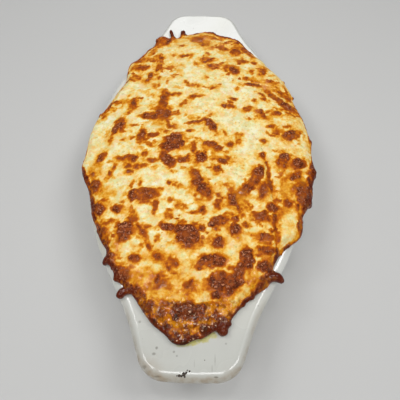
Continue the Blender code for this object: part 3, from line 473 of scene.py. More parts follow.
def pebbles(x, y, size, seed):
    """Distance to the nearest of scattered points, and a number for that point."""
    column, row = np.floor(x / size).astype(np.int64), np.floor(y / size).astype(np.int64)
    nearest = np.full(x.shape, 9.0)
    number = np.zeros(x.shape)
    for across in (-1, 0, 1):
        for along in (-1, 0, 1):
            cell_x, cell_y = column + across, row + along
            point_x = cell_x + 0.15 + 0.7 * lattice(cell_x, cell_y, seed)
            point_y = cell_y + 0.15 + 0.7 * lattice(cell_x, cell_y, seed + 1)
            away = np.hypot(x / size - point_x, y / size - point_y)
            closer = away < nearest
            nearest = np.where(closer, away, nearest)
            number = np.where(closer, lattice(cell_x, cell_y, seed + 2), number)
    return nearest, number


def ease(value, low, high):
    """0 below low, 1 above high, and smooth between."""
    share = np.clip((value - low) / (high - low), 0.0, 1.0)
    return share * share * (3 - 2 * share)


# ---- Fields over the cheese, in millimetres ------------------------------------------
CHEESE_OUTLINE = smooth_closed(CHEESE_EDGE, 720)
EDGE_ANGLES = np.unwrap(np.arctan2(CHEESE_OUTLINE[:, 1], CHEESE_OUTLINE[:, 0]))
EDGE_REACH = np.hypot(CHEESE_OUTLINE[:, 0], CHEESE_OUTLINE[:, 1])


def edge_reach(x, y):
    """How far the blanket reaches from the middle in each point's direction."""
    angle = (np.arctan2(y, x) - EDGE_ANGLES[0]) % (2 * np.pi)
    turns = (EDGE_ANGLES - EDGE_ANGLES[0]) % (2 * np.pi)
    order = np.argsort(turns)
    return np.interp(angle, turns[order], EDGE_REACH[order], period=2 * np.pi)


def inside_edge(x, y):
    """Distance in from the blanket's edge, negative on what runs past it."""
    return edge_reach(x, y) - np.hypot(x, y)


def topping_frame(x, y):
    """Places on the dish, in the topping's own frame."""
    return (x - TOPPING_SHIFT[0]) / TOPPING_SCALE[0], (y - TOPPING_SHIFT[1]) / TOPPING_SCALE[1]


def lie_down(x, y):
    """A place in the topping's frame as a point on the dish, in metres."""
    return Vector((x * TOPPING_SCALE[0] + TOPPING_SHIFT[0],
                   y * TOPPING_SCALE[1] + TOPPING_SHIFT[1])) * MM


def crown_height(x, y):
    """Height of the smooth blanket above the rim."""
    spread = (x / CROWN_HALF[0]) ** 2 + (y / CROWN_HALF[1]) ** 2
    return LIP + CROWN * np.clip(1.0 - spread, 0.0, 1.0) ** 0.9


def local_frame(x, y, centre_x, centre_y, turn):
    """Places along and across an oval's long axis."""
    cosine, sine = math.cos(math.radians(turn)), math.sin(math.radians(turn))
    away_x, away_y = x - centre_x, y - centre_y
    return away_x * cosine + away_y * sine, away_y * cosine - away_x * sine


def to_path(x, y, path):
    """Distance to a polyline."""
    nearest = np.full(x.shape, 1e9)
    for (ax, ay), (bx, by) in zip(path, path[1:]):
        span_x, span_y = bx - ax, by - ay
        share = ((x - ax) * span_x + (y - ay) * span_y) / (span_x ** 2 + span_y ** 2)
        share = np.clip(share, 0.0, 1.0)
        away = np.hypot(x - ax - share * span_x, y - ay - share * span_y)
        nearest = np.minimum(nearest, away)
    return nearest


def blister_fields(x, y):
    """Browning of the big blisters, the amber glow round them and the bloom inside."""
    warp_x = x + 0.6 * waves(x, y, 6.0, 11) + 0.8 * waves(x, y, 2.6, 12) + 0.5 * waves(x, y, 1.3, 13)
    warp_y = y + 0.6 * waves(x, y, 6.0, 21) + 0.8 * waves(x, y, 2.6, 22) + 0.5 * waves(x, y, 1.3, 23)
    core, glow, bloom = np.zeros(x.shape), np.zeros(x.shape), np.zeros(x.shape)
    for centre_x, centre_y, long, wide, turn, strength in BLISTERS:
        near = np.hypot(warp_x - centre_x, warp_y - centre_y) < long + 7.0
        u, v = local_frame(warp_x[near], warp_y[near], centre_x, centre_y, turn)
        beyond = (np.hypot(u / long, v / wide) - 1.0) * 0.85 * math.sqrt(long * wide)
        level = 0.34 + 0.50 * strength - 0.07 * float(ease(centre_y, 10.0, 90.0))
        profile = 0.60 * ease(1.6 - beyond, 0.0, 1.6) + 0.40 * ease(0.6 - beyond, 0.0, 2.0)
        core[near] = np.maximum(core[near], level * profile)
        glow[near] = np.maximum(glow[near], strength * ease(4.5 - beyond, 0.0, 4.5))
        bloom[near] = np.maximum(bloom[near], strength ** 2 * ease(-beyond, 0.2, 2.6))
    return core, glow, bloom


def patchy(x, y, patches):
    """1 in the middle of soft oval patches, falling to 0 round them."""
    share = np.zeros(x.shape)
    for centre_x, centre_y, long, wide, turn in patches:
        u, v = local_frame(x, y, centre_x, centre_y, turn)
        share = np.maximum(share, np.exp(-((u / long) ** 2 + (v / wide) ** 2)))
    return share


def calm(x, y):
    """1 where the cheese stayed smooth and pale."""
    return patchy(x, y, PALE_PATCHES)


def smudges(x, y):
    """Faint amber smudges and freckles, fewer where the cheese stayed smooth and pale."""
    busy = 0.35 + 0.65 * ease(rough_waves(x, y, 24.0, 31), -0.35, 0.15)
    busy = busy * (1.0 - 0.9 * calm(x, y)) * (1.0 - 0.7 * oily(x, y))
    soft = 0.34 * ease(rough_waves(x * 0.8, y, 4.6, 41), -0.12, 0.40)
    sharp = 0.54 * ease(rough_waves(x * 0.7, y, 3.6, 51), 0.20, 0.46)
    return np.maximum(soft, sharp) * busy


def oily(x, y):
    """1 where oil has soaked in."""
    return ease(patchy(x, y, OILY_PATCHES) + 0.45 * rough_waves(x, y, 4.5, 141), 0.15, 0.75)


def edge_heat(x, y):
    """Browning along the blanket's edge."""
    turns, widths, levels = zip(*EDGE_BROWNING)
    around = np.degrees(np.arctan2(y, x)) % 360.0
    uneven = rough_waves(x, y, 6.0, 61)
    width = np.interp(around, turns, widths, period=360.0) * (1.0 + 0.6 * uneven)
    level = np.interp(around, turns, levels, period=360.0) + 0.10 * uneven
    return level * ease(width + 1.0 - inside_edge(x, y), 0.0, 1.6)


def tip_share(x, y):
    """1 over the saucy near end, 0 over the rest."""
    wavy = 3.0 * rough_waves(x, y, 10.0, 71)
    return ease(-y + wavy + 0.04 * np.abs(x), 106.0, 114.0)


def browning(x, y):
    """Heat from 0, pale cheese, to 1, nearly burnt, and the bloom on the big blisters."""
    base = 0.145 + 0.10 * rough_waves(x, y, 13.0, 81) + 0.07 * waves(x, y, 2.8, 82)
    base = base + 0.04 * ease(-y, 20.0, 105.0) + 0.03 * ease(x, 30.0, 80.0)
    core, glow, bloom = blister_fields(x, y)
    base = base + 0.10 * ease(y, 90.0, 118.0) + 0.19 * oily(x, y)
    amber = glow * 0.36 * ease(rough_waves(x, y, 5.0, 83), -0.45, 0.35) * (1.0 - 0.5 * calm(x, y))
    base = np.maximum(base + amber, base * 0.5 + smudges(x, y) + amber * 0.6)
    saucy = tip_share(x, y) * (0.66 + 0.40 * rough_waves(x, y, 4.5, 91))
    grain = 0.24 * rough_waves(x, y, 3.6, 92) + 0.10 * waves(x, y, 1.25, 93)
    crust = core * (1.01 - 0.25 * calm(x, y)) + grain * ease(core, 0.15, 0.5) - 0.05 * bloom
    heat = np.maximum.reduce([base, crust, edge_heat(x, y) + grain, saucy])
    for centre_x, centre_y, radius, level in TIP_PATCHES:
        away = np.hypot(x - centre_x, y - centre_y) + 0.9 * rough_waves(x, y, 3.0, 94)
        share = 1.0 - ease(away, radius * 0.55, radius * 1.15)
        heat = heat + (level + 0.5 * grain - heat) * share
    rind = ease(1.8 - inside_edge(x, y), 0.0, 1.4) * ease(-y, 127.0, 130.0) * ease(2.0 - x, 0.0, 3.0)
    heat = heat + (1.0 - heat) * rind
    return np.clip(heat, 0.0, 1.0), bloom * ease(heat, 0.5, 0.7)


def tip_lumps(x, y):
    """Bubbles and folds of the glossy near end."""
    rough = 0.45 * rough_waves(x, y, 4.6, 115) + 0.42 * rough_waves(x, y, 2.4, 116, 2)
    height = tip_share(x, y) * rough
    for centre_x, centre_y, long, wide, turn, lift in TIP_LUMPS:
        u, v = local_frame(x, y, centre_x, centre_y, turn)
        height = height + lift * np.clip(1.0 - (u / long) ** 2 - (v / wide) ** 2, 0.0, 1.0) ** 0.8
    return height


def relief(x, y, heat):
    """Height of the blanket's own relief."""
    inside = inside_edge(x, y)
    settle = ease(inside, 0.0, 9.0)
    height = 1.3 * rough_waves(x, y, 21.0, 101, 2) + 0.45 * waves(x, y, 7.5, 102)
    for centre_x, centre_y, long, wide, turn, lift in TUBES:
        u, v = local_frame(x, y, centre_x, centre_y, turn)
        height = height + lift * 0.7 * np.exp(-((u / long) ** 4 + (v / wide) ** 2))
    for path, depth in CREASES:
        height = height - depth * np.exp(-(to_path(x, y, path) / 1.7) ** 2)
    height = height * settle + tip_lumps(x, y)
    height = height + 0.75 * ease(heat, 0.50, 0.85)
    crust = ease(heat, 0.60, 0.85) * (1.0 - 0.8 * tip_share(x, y))
    away, number = pebbles(x + 0.5 * waves(x, y, 1.9, 112), y, 2.3, 111)
    nodules = (1.0 - ease(away, 0.0, 0.62)) * (0.35 + 0.65 * number)
    height = height + crust * (0.60 * nodules - 0.28)
    height = height + crust * 0.35 * rough_waves(x, y, 3.4, 113)
    return height + 0.10 * waves(x, y, 2.0, 114) * (1.0 - crust)


# ---- Shared mesh helpers -----------------------------------------------------------
class Loft:
    """A skin of rings with equal counts, capped at the first and grown ring by ring."""

    def __init__(self, rings):
        self.body = bmesh.new()
        made = bmesh.ops.create_circle(self.body, segments=len(rings[0]), radius=1.0)
        self.loop = made["verts"]
        self.place(rings[0])
        self.cap()
        for ring in rings[1:]:
            self.grow(ring)

    def place(self, ring):
        for vert, point in zip(self.loop, ring):
            vert.co = point

    def edges(self):
        pairs = zip(self.loop, self.loop[1:] + self.loop[:1])
        return [self.body.edges.get(pair) for pair in pairs]

    def grow(self, ring):
        made = bmesh.ops.extrude_edge_only(self.body, edges=self.edges())
        fresh = {item for item in made["geom"] if isinstance(item, bmesh.types.BMVert)}
        ahead = []
        for vert in self.loop:
            others = (edge.other_vert(vert) for edge in vert.link_edges)
            ahead.append(next(other for other in others if other in fresh))
        self.loop = ahead
        self.place(ring)

    def cap(self):
        bmesh.ops.contextual_create(self.body, geom=self.edges())

    def pole(self, point):
        bmesh.ops.pointmerge(self.body, verts=self.loop, merge_co=point)


def finish_piece(name, body, material, replaced=()):
    """Makes a piece of a bmesh, parents it to the root body and hides the parts it replaces."""
    mesh = bpy.data.meshes.new(name)
    body.to_mesh(mesh)
    body.free()
    return finish_mesh(name, mesh, material, replaced)


def finish_mesh(name, mesh, material, replaced=()):
    """Makes a piece of a mesh, parents it to the root body and hides the parts it replaces."""
    mesh.materials.clear()
    mesh.materials.append(material)
    mesh.shade_smooth()
    piece = bpy.data.objects.new(name, mesh)
    bpy.context.scene.collection.objects.link(piece)
    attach(piece, "root")
    if replaced:
        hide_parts(*replaced)
    return piece


def evaluated_mesh(holder):
    """The mesh that an object's modifiers make, without the object."""
    graph = bpy.context.evaluated_depsgraph_get()
    mesh = bpy.data.meshes.new_from_object(holder.evaluated_get(graph))
    old = holder.data
    bpy.data.objects.remove(holder, do_unlink=True)
    bpy.data.meshes.remove(old)
    return mesh


def surface(mesh):
    """A mesh's faces, ready for rays to be cast at them."""
    corners = [vert.co.copy() for vert in mesh.vertices]
    return BVHTree.FromPolygons(corners, [tuple(face.vertices) for face in mesh.polygons])


def plumb(skin, x, y):
    """Where a plumb line at a place in metres first meets a surface, or None."""
    return skin.ray_cast(Vector((x, y, 1.0)), Vector((0, 0, -1)))[0]


def vertex_arrays(mesh):
    """Vertex places in metres and vertex normals, as arrays."""
    places = np.empty(len(mesh.vertices) * 3, np.float32)
    normals = np.empty(len(mesh.vertices) * 3, np.float32)
    mesh.vertices.foreach_get("co", places)
    mesh.vertex_normals.foreach_get("vector", normals)
    return places.reshape(-1, 3).astype(float), normals.reshape(-1, 3).astype(float)


def store(mesh, name, values):
    """Keeps a number on every vertex for the materials."""
    layer = mesh.attributes.new(name, "FLOAT", "POINT")
    layer.data.foreach_set("value", np.ascontiguousarray(values, np.float32))


# ---- Shaders -----------------------------------------------------------------------
class Wire:
    """A shader socket that takes part in arithmetic."""

    def __init__(self, finish, socket):
        self.finish = finish
        self.socket = socket

    def math(self, operation, *values):
        sockets = dict(enumerate(values))
        return self.finish.node("ShaderNodeMath", {"operation": operation}, sockets)

    def __add__(self, other):
        return self.math("ADD", self, other)

    def __radd__(self, other):
        return self.math("ADD", other, self)

    def __sub__(self, other):
        return self.math("SUBTRACT", self, other)

    def __rsub__(self, other):
        return self.math("SUBTRACT", other, self)

    def __mul__(self, other):
        return self.math("MULTIPLY", self, other)

    def __rmul__(self, other):
        return self.math("MULTIPLY", other, self)

    def between(self, low, high):
        """0 below low, 1 above high."""
        sockets = {"Value": self, "From Min": low, "From Max": high}
        settings = {"interpolation_type": "SMOOTHSTEP", "clamp": True}
        return self.finish.node("ShaderNodeMapRange", settings, sockets)


class Finish:
    """A material being made: a Principled shader and the nodes that feed it."""

    def __init__(self, name, fixed):
        self.material = bpy.data.materials.new(name)
        self.material.use_nodes = True
        self.tree = self.material.node_tree
        self.shader = self.tree.nodes["Principled BSDF"]
        for socket, value in fixed.items():
            self.shader.inputs[socket].default_value = value
        self.place = self.node("ShaderNodeTexCoord", output="Object")

    def node(self, kind, settings=None, sockets=None, output=0):
        """A node of a type, with its settings and the values or links of its sockets."""
        made = self.tree.nodes.new(kind)
        for name, value in (settings or {}).items():
            if name == "stops":
                self.set_stops(made.color_ramp, value)
            else:
                setattr(made, name, value)
        for key, value in (sockets or {}).items():
            self.feed(made.inputs[key], value)
        return Wire(self, made.outputs[output])

    def feed(self, socket, value):
        """Links a wire to a socket, or sets its value."""
        if isinstance(value, Wire):
            self.tree.links.new(value.socket, socket)
        elif isinstance(value, tuple) and len(value) == 3 and socket.type == "RGBA":
            socket.default_value = (*value, 1.0)
        else:
            socket.default_value = value

    @staticmethod
    def set_stops(ramp, stops):
        while len(ramp.elements) < len(stops):
            ramp.elements.new(1.0)
        for element, (position, colour) in zip(ramp.elements, stops):
            element.position = position
            element.color = (*colour, 1.0)

    def noise(self, size, detail=2.0, roughness=0.5):
        """Noise with lumps of about a size in metres, around 0.5."""
        sockets = {"Vector": self.place, "Scale": 1.0 / size, "Detail": detail,
                   "Roughness": roughness}
        return self.node("ShaderNodeTexNoise", None, sockets)

    def flecks(self, size, low, high, roughness=0.6, detail=3.0):
        """1 in flecks of about a size in metres, where the noise is high, and 0 between."""
        return self.noise(size, detail, roughness).between(low, high)

    def cells(self, size):
        """Distance to the nearest of scattered points, about a size in metres apart."""
        sockets = {"Vector": self.place, "Scale": 1.0 / size}
        return self.node("ShaderNodeTexVoronoi", None, sockets, "Distance")

    def blot(self, x, y, long, wide):
        """1 in an oval round a place on the rim given in millimetres, 0 outside it."""
        centre = (x * MM, y * MM, RIM - MM)
        away = self.node("ShaderNodeVectorMath", {"operation": "SUBTRACT"},
                         {0: self.place, 1: centre})
        shares = self.node("ShaderNodeVectorMath", {"operation": "DIVIDE"},
                           {0: away, 1: (long * MM, wide * MM, 5 * MM)})
        reach = self.node("ShaderNodeVectorMath", {"operation": "LENGTH"}, {0: shares}, "Value")
        ragged = reach + (self.noise(0.002, 2.0) - 0.5) * 0.9
        return 1 - ragged.between(0.5, 1.1)

    def attribute(self, name):
        """A number that store kept on the vertices."""
        return self.node("ShaderNodeAttribute", {"attribute_name": name}, output="Fac")

    def ramp(self, factor, stops):
        return self.node("ShaderNodeValToRGB", {"stops": stops}, {"Fac": factor}, "Color")

    def mix(self, factor, first, second):
        """A colour between two, whose sockets on the Mix node are 6 and 7, and the result 2."""
        settings = {"data_type": "RGBA", "clamp_factor": True}
        return self.node("ShaderNodeMix", settings, {0: factor, 6: first, 7: second}, 2)

    def bump(self, height, distance, strength):
        sockets = {"Height": height, "Distance": distance, "Strength": strength}
        return self.node("ShaderNodeBump", None, sockets)

    def connect(self, links):
        """Feeds the shader, and gives the finished material."""
        for socket, wire in links.items():
            self.feed(self.shader.inputs[socket], wire)
        return self.material


def screen(red, green, blue):
    """A screen colour from 0 to 255 as linear light."""
    return tuple(((c / 255 + 0.055) / 1.055) ** 2.4 if c > 10 else c / 3294.6
                 for c in (red, green, blue))


# ---- Settings ----------------------------------------------------------------------
class DishSettings(bpy.types.PropertyGroup):
    around: IntProperty(
        name="Points Around", description="Points in each ring of the dish",
        default=384, min=48, max=720)
    glaze: FloatVectorProperty(
        name="Glaze", description="Colour of the glaze", subtype="COLOR",
        default=screen(226, 227, 222), min=0.0, max=1.0)
    # colour of the baked-on stains, also used for the painted shade on the near ear's rolled edge
    stain: FloatVectorProperty(
        name="Stain", description="Colour of the baked-on stains", subtype="COLOR",
        default=screen(164, 146, 122), min=0.0, max=1.0)


class CheeseSettings(bpy.types.PropertyGroup):
    voxel: FloatProperty(
        name="Voxel", description="Size of the cheese's mesh cells", subtype="DISTANCE",
        default=0.8 * MM, min=0.4 * MM, max=3 * MM)
    around: IntProperty(
        name="Points Around", description="Points in each ring of the rough blanket",
        default=300, min=48, max=720)


class StageSettings(bpy.types.PropertyGroup):
    floor: FloatVectorProperty(
        name="Floor", description="Colour of the floor", subtype="COLOR",
        default=(0.64, 0.64, 0.63), min=0.0, max=1.0)
    key_power: FloatProperty(
        name="Key Power", description="Power that each soft box takes its share of", unit="POWER",
        default=8.0, min=0.0)


# ---- Materials ---------------------------------------------------------------------
# Colour of the cheese by its heat, from pale to nearly burnt
CHEESE_STOPS = (
    (0.00, screen(252, 249, 222)), (0.13, screen(252, 241, 186)), (0.25, screen(251, 212, 117)),
    (0.36, screen(238, 168, 46)), (0.46, screen(213, 124, 18)), (0.57, screen(182, 88, 10)),
    (0.70, screen(150, 67, 17)), (0.84, screen(114, 46, 18)), (1.00, screen(58, 24, 10)),
)


def glaze_material(settings):
    """White stoneware glaze with fine specks, warm worn edges and tan stains, darker on faces that point
    down, with painted shade on the near ear and its rolled edge.
    """
    make = Finish("stoneware_glaze", {"Coat Weight": 0.9, "Coat Roughness": 0.04,
                                      "Specular IOR Level": 0.45})
    cloud = make.noise(0.045, 3.0)
    glaze = tuple(settings.glaze)
    warm = tuple(c * f for c, f in zip(glaze, (0.93, 0.92, 0.86)))
    colour = make.mix(cloud.between(0.35, 0.75), glaze, warm)
    along = make.node("ShaderNodeSeparateXYZ", None, {"Vector": make.place}, "Y")
    # painted shade: the near ear's glaze is painted greyer, standing in for the weaker light on it
    colour = make.mix(1 - along.between(*NEAR_EAR_SHADE), colour, screen(201, 202, 195))
    speck = (1 - make.cells(0.0052).between(0.05, 0.085)) * make.noise(0.012).between(0.5, 0.62)
    colour = make.mix(speck * 0.75, colour, screen(92, 84, 72))
    # the mask of baked-on stains also holds painted shade on the near ear's rolled edge
    stain = make.attribute("stain")
    patches = stain * (0.3 + make.noise(0.007, 4.0, 0.6).between(0.34, 0.66) * 0.7)
    colour = make.mix(patches * 0.85, colour, tuple(settings.stain))
    # darker, warmer glaze on faces that point down, low on the dish
    downward_darkening = make.attribute("underside")
    colour = make.mix(downward_darkening * 0.5, colour, screen(178, 168, 146))
    for x, y, long, wide, strength in OIL_FILM:
        film = make.blot(x, y, long, wide) * strength
        colour = make.mix(film, colour, screen(196, 186, 84))
    for x, y, long, wide, strength in SPECKS:
        colour = make.mix(make.blot(x, y, long, wide) * strength, colour, screen(96, 90, 74))
    dimple = make.noise(0.0035, 2.0)
    return make.connect({
        "Base Color": colour,
        "Roughness": 0.24 + make.noise(0.02).between(0.4, 0.8) * 0.14 + patches * 0.25,
        "Normal": make.bump(dimple, 0.00005, 0.5),
    })


def cheese_material():
    """Melted cheese: pale and oily, golden round the blisters, rough brown on them, with painted glints on
    the saucy near end.
    """
    make = Finish("melted_cheese", {
        "Subsurface Weight": 0.06, "Subsurface Radius": (0.9, 0.45, 0.15),
        "Subsurface Scale": 0.0015, "Coat Roughness": 0.03, "Specular IOR Level": 0.08})
    brown = make.attribute("browning")
    bloom = make.attribute("bloom")
    oil = make.attribute("oil")
    sauce = make.attribute("sauce")
    rind = make.attribute("rind")
    fine = make.noise(0.0015, 3.0, 0.6) - 0.5
    grain = make.noise(0.0038, 3.0, 0.6) - 0.5
    pale = 1 - brown.between(0.16, 0.40)
    crust = brown.between(0.60, 0.82)
    heat = brown + fine * (0.36 + crust * 0.55 + sauce * 0.34) + grain * 0.27
    soft = 1 - crust
    # what lies on the cheese, and painted glints, one over another: share, strength, screen colour
    layers = (
        (make.flecks(0.0052, 0.48, 0.62, 0.65) * pale, 0.55, (248, 196, 132)),     # peach
        (make.flecks(0.0044, 0.48, 0.62, 0.65) * pale, 0.55, (222, 220, 156)),     # olive
        (make.flecks(0.0024, 0.60, 0.72) * soft, 0.45, (176, 134, 26)),            # herbs
        (bloom * make.flecks(0.0034, 0.36, 0.60, 0.65), 0.60, (146, 78, 40)),      # bloom
        (crust * make.flecks(0.0016, 0.48, 0.58, 0.65), 0.70, (68, 24, 4)),        # pits
        (crust * make.flecks(0.0015, 0.53, 0.62, 0.65), 0.85 - sauce * 0.45, (212, 138, 96)),
        (rind * crust, 0.75, (92, 22, 0)),
        (oil * soft * make.flecks(0.0045, 0.36, 0.60, 0.5), 0.50, (226, 162, 24)),  # amber
        (sauce * soft * make.flecks(0.0026, 0.50, 0.62), 0.70, (226, 146, 8)),     # gold
        (sauce * make.flecks(0.0031, 0.50, 0.62), 0.55, (104, 46, 4)),             # soaked
        (sauce * make.flecks(0.0019, 0.62, 0.68, 0.6, 2.0), 0.70, (248, 208, 172)),  # painted glints: pale pink specks for the oil's highlights
        (sauce * brown.between(0.90, 1.0), 0.65, (46, 26, 8)),                     # scorch
    )
    colour = make.ramp(heat, CHEESE_STOPS)
    for share, strength, tint in layers:
        colour = make.mix(share * strength, colour, screen(*tint))
    nodules = 1 - make.cells(0.0013).between(0.1, 0.8)
    height = nodules * crust * 0.6 + make.noise(0.0009, 2.0) * (0.3 + crust * 0.5)
    height = height + sauce * make.noise(0.0017, 2.0) * 0.8
    return make.connect({
        "Base Color": colour,
        "Roughness": 0.46 + crust * 0.06 + fine * 0.2 - oil * 0.24,
        "Coat Weight": oil * (0.4 + make.noise(0.0032, 3.0).between(0.44, 0.56) * 0.85),
        "Normal": make.bump(height, 0.0005, 0.9),
    })


def filling_material():
    """Pasta in tomato sauce, under the cheese."""
    make = Finish("pasta_in_sauce", {})
    tubes = make.noise(0.012, 2.0)
    colour = make.ramp(tubes, ((0.3, screen(150, 60, 22)), (0.55, screen(190, 96, 38)),
                               (0.75, screen(222, 160, 84))))
    wet = make.noise(0.004, 2.0)
    return make.connect({
        "Base Color": colour,
        "Roughness": 0.3 + wet * 0.25,
        "Normal": make.bump(wet, 0.0006, 0.6),
    })


def crumb_material():
    """Burnt crumbs."""
    make = Finish("burnt_crumbs", {})
    grain = make.noise(0.0006, 2.0)
    colour = make.ramp(grain, ((0.35, screen(34, 28, 24)), (0.7, screen(84, 66, 50))))
    return make.connect({"Base Color": colour, "Roughness": 0.45 + grain * 0.3})


def floor_material(settings):
    """Pale matt floor with a very faint cloud."""
    make = Finish("pale_floor", {"Roughness": 0.8})
    cloud = make.noise(0.3, 2.0)
    shade = tuple(c * 0.96 for c in settings.floor)
    return make.connect({"Base Color": make.mix(cloud, tuple(settings.floor), shade)})


# ---- Dish --------------------------------------------------------------------------
def arc_steps(count, flatness=1.0):
    """Inward and upward shares along a rounded edge, from its side to its top."""
    turns = np.linspace(0.0, math.pi / 2, count)
    return [(1 - abs(math.cos(turn)) ** flatness, math.sin(turn) ** flatness) for turn in turns]


def dish_rings(count):
    """Rings of the dish from the edge of its foot, up the outside and down the hollow."""
    outline = dish_outline(count)
    directions = outline / np.linalg.norm(outline, axis=1, keepdims=True)
    rim = RIM / MM
    under = rim - EAR_THICKNESS
    rings = [at_height(oval(directions, FOOT), 0.0)]
    foot, top = np.array(FOOT), np.array(WALL_TOP)
    for share in np.linspace(0.0, 1.0, 12):
        swell = 0.5 * math.sin(share * math.pi / 2) + 0.5 * share
        sizes = foot + FOOT_STEP + (top - foot - FOOT_STEP) * swell
        height = FOOT_STEP + (under - FOOT_STEP) * share
        rings.append(at_height(oval(directions, sizes), height))
    root = oval(directions, top)
    low = inset(outline, LOW_ROUND)
    for share in (0.25, 0.6, 1.0):
        plan = root + (low - root) * share
        rings.append(at_height(plan, under + UNDER_RISE * share ** 0.5))
    for back, upward in arc_steps(6)[1:]:
        plan = inset(outline, LOW_ROUND * (1 - upward))
        rings.append(at_height(plan, under + UNDER_RISE + LOW_ROUND * back))
    across = ease(inward(outline)[:, 1], -0.35, 1.0)
    roll = EDGE_ROLL[0] + (EDGE_ROLL[1] - EDGE_ROLL[0]) * across
    drop = TOP_ROUND * (0.6 + 0.4 * across)
    for back, upward in arc_steps(14, ROLL_FLATNESS):
        rings.append(at_height(inset(outline, roll * back), rim - drop * (1 - upward)))
    mouth = oval(directions, MOUTH)
    flat = inset(outline, roll)
    for share in (0.15, 0.5, 0.9, 0.985, 1.0):
        rings.append(at_height(flat + (mouth - flat) * share, rim))
    mouth_size, floor_size = np.array(MOUTH) - 1.0, np.array(FLOOR)
    for share in np.linspace(1.0, 0.0, 10):
        flare = 0.55 * math.sin(share * math.pi / 2) ** 0.55 + 0.45 * share
        sizes = floor_size + (mouth_size - floor_size) * flare
        height = FLOOR_HEIGHT + (rim - 1.0 - FLOOR_HEIGHT) * share
        rings.append(at_height(oval(directions, sizes), height))
    return rings


def dish_stains_and_shade(places):
    """Baked-on tan stains on the near ear's left corner and its lower edges, and painted shade on the near
    ear's rolled edge.
    """
    x, y, z = (places / MM).T
    corner = np.exp(-(((x + 27) / 11) ** 2 + ((y + 147) / 7) ** 2))
    right = np.exp(-(((x - 26) / 9) ** 2 + ((y + 148) / 5) ** 2)) * 0.5
    line = ease(z, 33.0, 36.5) * (1 - ease(z, 38.5, 40.0)) * ease(-y, 100.0, 125.0) * 0.55
    # painted shade: the near ear's rolled edge faces away from most of the light and is painted darker
    roll = ease(RIM / MM - z, 0.2, 1.6) * ease(-y, 138.0, 150.0) * 0.5
    far = ease(z, 33.0, 36.5) * (1 - ease(z, 38.5, 40.0)) * ease(y, 100.0, 125.0) * 0.25
    return np.clip(corner * 0.75 + right * 0.5 + line + roll + far, 0.0, 1.0)


class PASTA_OT_dish(bpy.types.Operator):
    """Build the glazed dish with its two ears"""

    bl_idname = "pasta.dish"
    bl_label = "Glazed Dish"

    def execute(self, context):
        settings = context.scene.pasta_dish
        loft = Loft(dish_rings(settings.around))
        loft.cap()
        bmesh.ops.recalc_face_normals(loft.body, faces=loft.body.faces[:])
        material = glaze_material(settings)
        piece = finish_piece("glazed_dish", loft.body, material, ("dish",))
        places, normals = vertex_arrays(piece.data)
        store(piece.data, "stain", dish_stains_and_shade(places))
        low = ease(-normals[:, 2], -0.25, 0.35) * ease(-places[:, 2] / MM, -38.0, -34.0)
        store(piece.data, "underside", low)
        return {"FINISHED"}


class PASTA_OT_crumbs(bpy.types.Operator):
    """Scatter the burnt crumbs on the near ear's edge"""

    bl_idname = "pasta.crumbs"
    bl_label = "Burnt Crumbs"

    def execute(self, context):
        skin = surface(bpy.data.objects["glazed_dish"].data)
        body = bmesh.new()
        for x, y, size in CRUMBS:
            below = plumb(skin, x * MM, y * MM)
            made = bmesh.ops.create_icosphere(body, subdivisions=2, radius=size * MM)
            for index, vert in enumerate(made["verts"]):
                luck = lattice(np.int64(index + 7), np.int64(1000 * size), 9)
                vert.co *= 0.75 + 0.5 * luck
                vert.co.z *= 0.6
            bmesh.ops.smooth_vert(body, verts=made["verts"], factor=0.3, use_axis_x=True,
                                  use_axis_y=True, use_axis_z=True)
            bmesh.ops.translate(body, verts=made["verts"],
                                vec=below + Vector((0, 0, 0.25 * size * MM)))
        finish_piece("burnt_crumbs", body, crumb_material())
        return {"FINISHED"}


# ---- Filling -----------------------------------------------------------------------
class PASTA_OT_filling(bpy.types.Operator):
    """Give the pasta filling its sauce"""

    bl_idname = "pasta.filling"
    bl_label = "Pasta Filling"

    def execute(self, context):
        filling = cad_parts["pasta_filling"]
        filling.data.materials.clear()
        filling.data.materials.append(filling_material())
        return {"FINISHED"}


# ---- Cheese ------------------------------------------------------------------------
def blanket_rings(count):
    """Rings of the rough blanket, from its underside's edge out, up and in to the top."""
    edge = smooth_closed(CHEESE_EDGE, count)
    directions = edge / np.linalg.norm(edge, axis=1, keepdims=True)
    dish = np.column_stack(topping_frame(*dish_outline(720).T))
    angles = np.arctan2(dish[:, 1], dish[:, 0])
    order = np.argsort(angles)
    reach = np.hypot(dish[:, 0], dish[:, 1])[order]
    around = np.arctan2(edge[:, 1], edge[:, 0])
    rim_reach = np.interp(around, angles[order], reach, period=2 * np.pi)
    own = np.linalg.norm(edge, axis=1)
    droop = DROOP * ease(own - rim_reach, 1.5, 5.0)
    base = RIM / MM + REST_GAP
    rings = [at_height(edge * share, base) for share in (0.90, 0.95)]
    # the rounded edge: distance in, height on the rim, and share of the droop
    for back, height, hang in ((2.6, 0.0, 0.85), (1.2, 0.2, 1.0), (0.3, 0.9, 0.85),
                               (0.0, 1.9, 0.55), (0.5, 3.0, 0.3), (1.6, 3.8, 0.1)):
        plan = directions * (own - back)[:, None]
        rings.append(at_height(plan, base + height - droop * hang))
    for share in 1.0 - np.linspace(0.0, 1.0, 22)[1:-1] ** 1.1:
        plan = directions * ((own - 2.4) * share)[:, None]
        rings.append(at_height(plan, RIM / MM + crown_height(plan[:, 0], plan[:, 1])))
    return rings


def add_ball(body, radius, place):
    """A ball of cheese, with its radius in metres."""
    bmesh.ops.create_icosphere(body, subdivisions=2, radius=radius, matrix=place)


def add_drip(body, path, radii):
    """A run of overlapping balls along a path, which the remesh melts together."""
    for (start, end), (thick, thin) in zip(zip(path, path[1:]), zip(radii, radii[1:])):
        steps = max(2, int((Vector(end) - Vector(start)).length / 1.2))
        for step in range(steps + 1):
            share = step / steps
            centre = Vector(start).lerp(Vector(end), share)
            centre.z += RIM / MM
            size = (thick + (thin - thick) * share) * MM
            add_ball(body, size, Matrix.Translation(centre * MM))


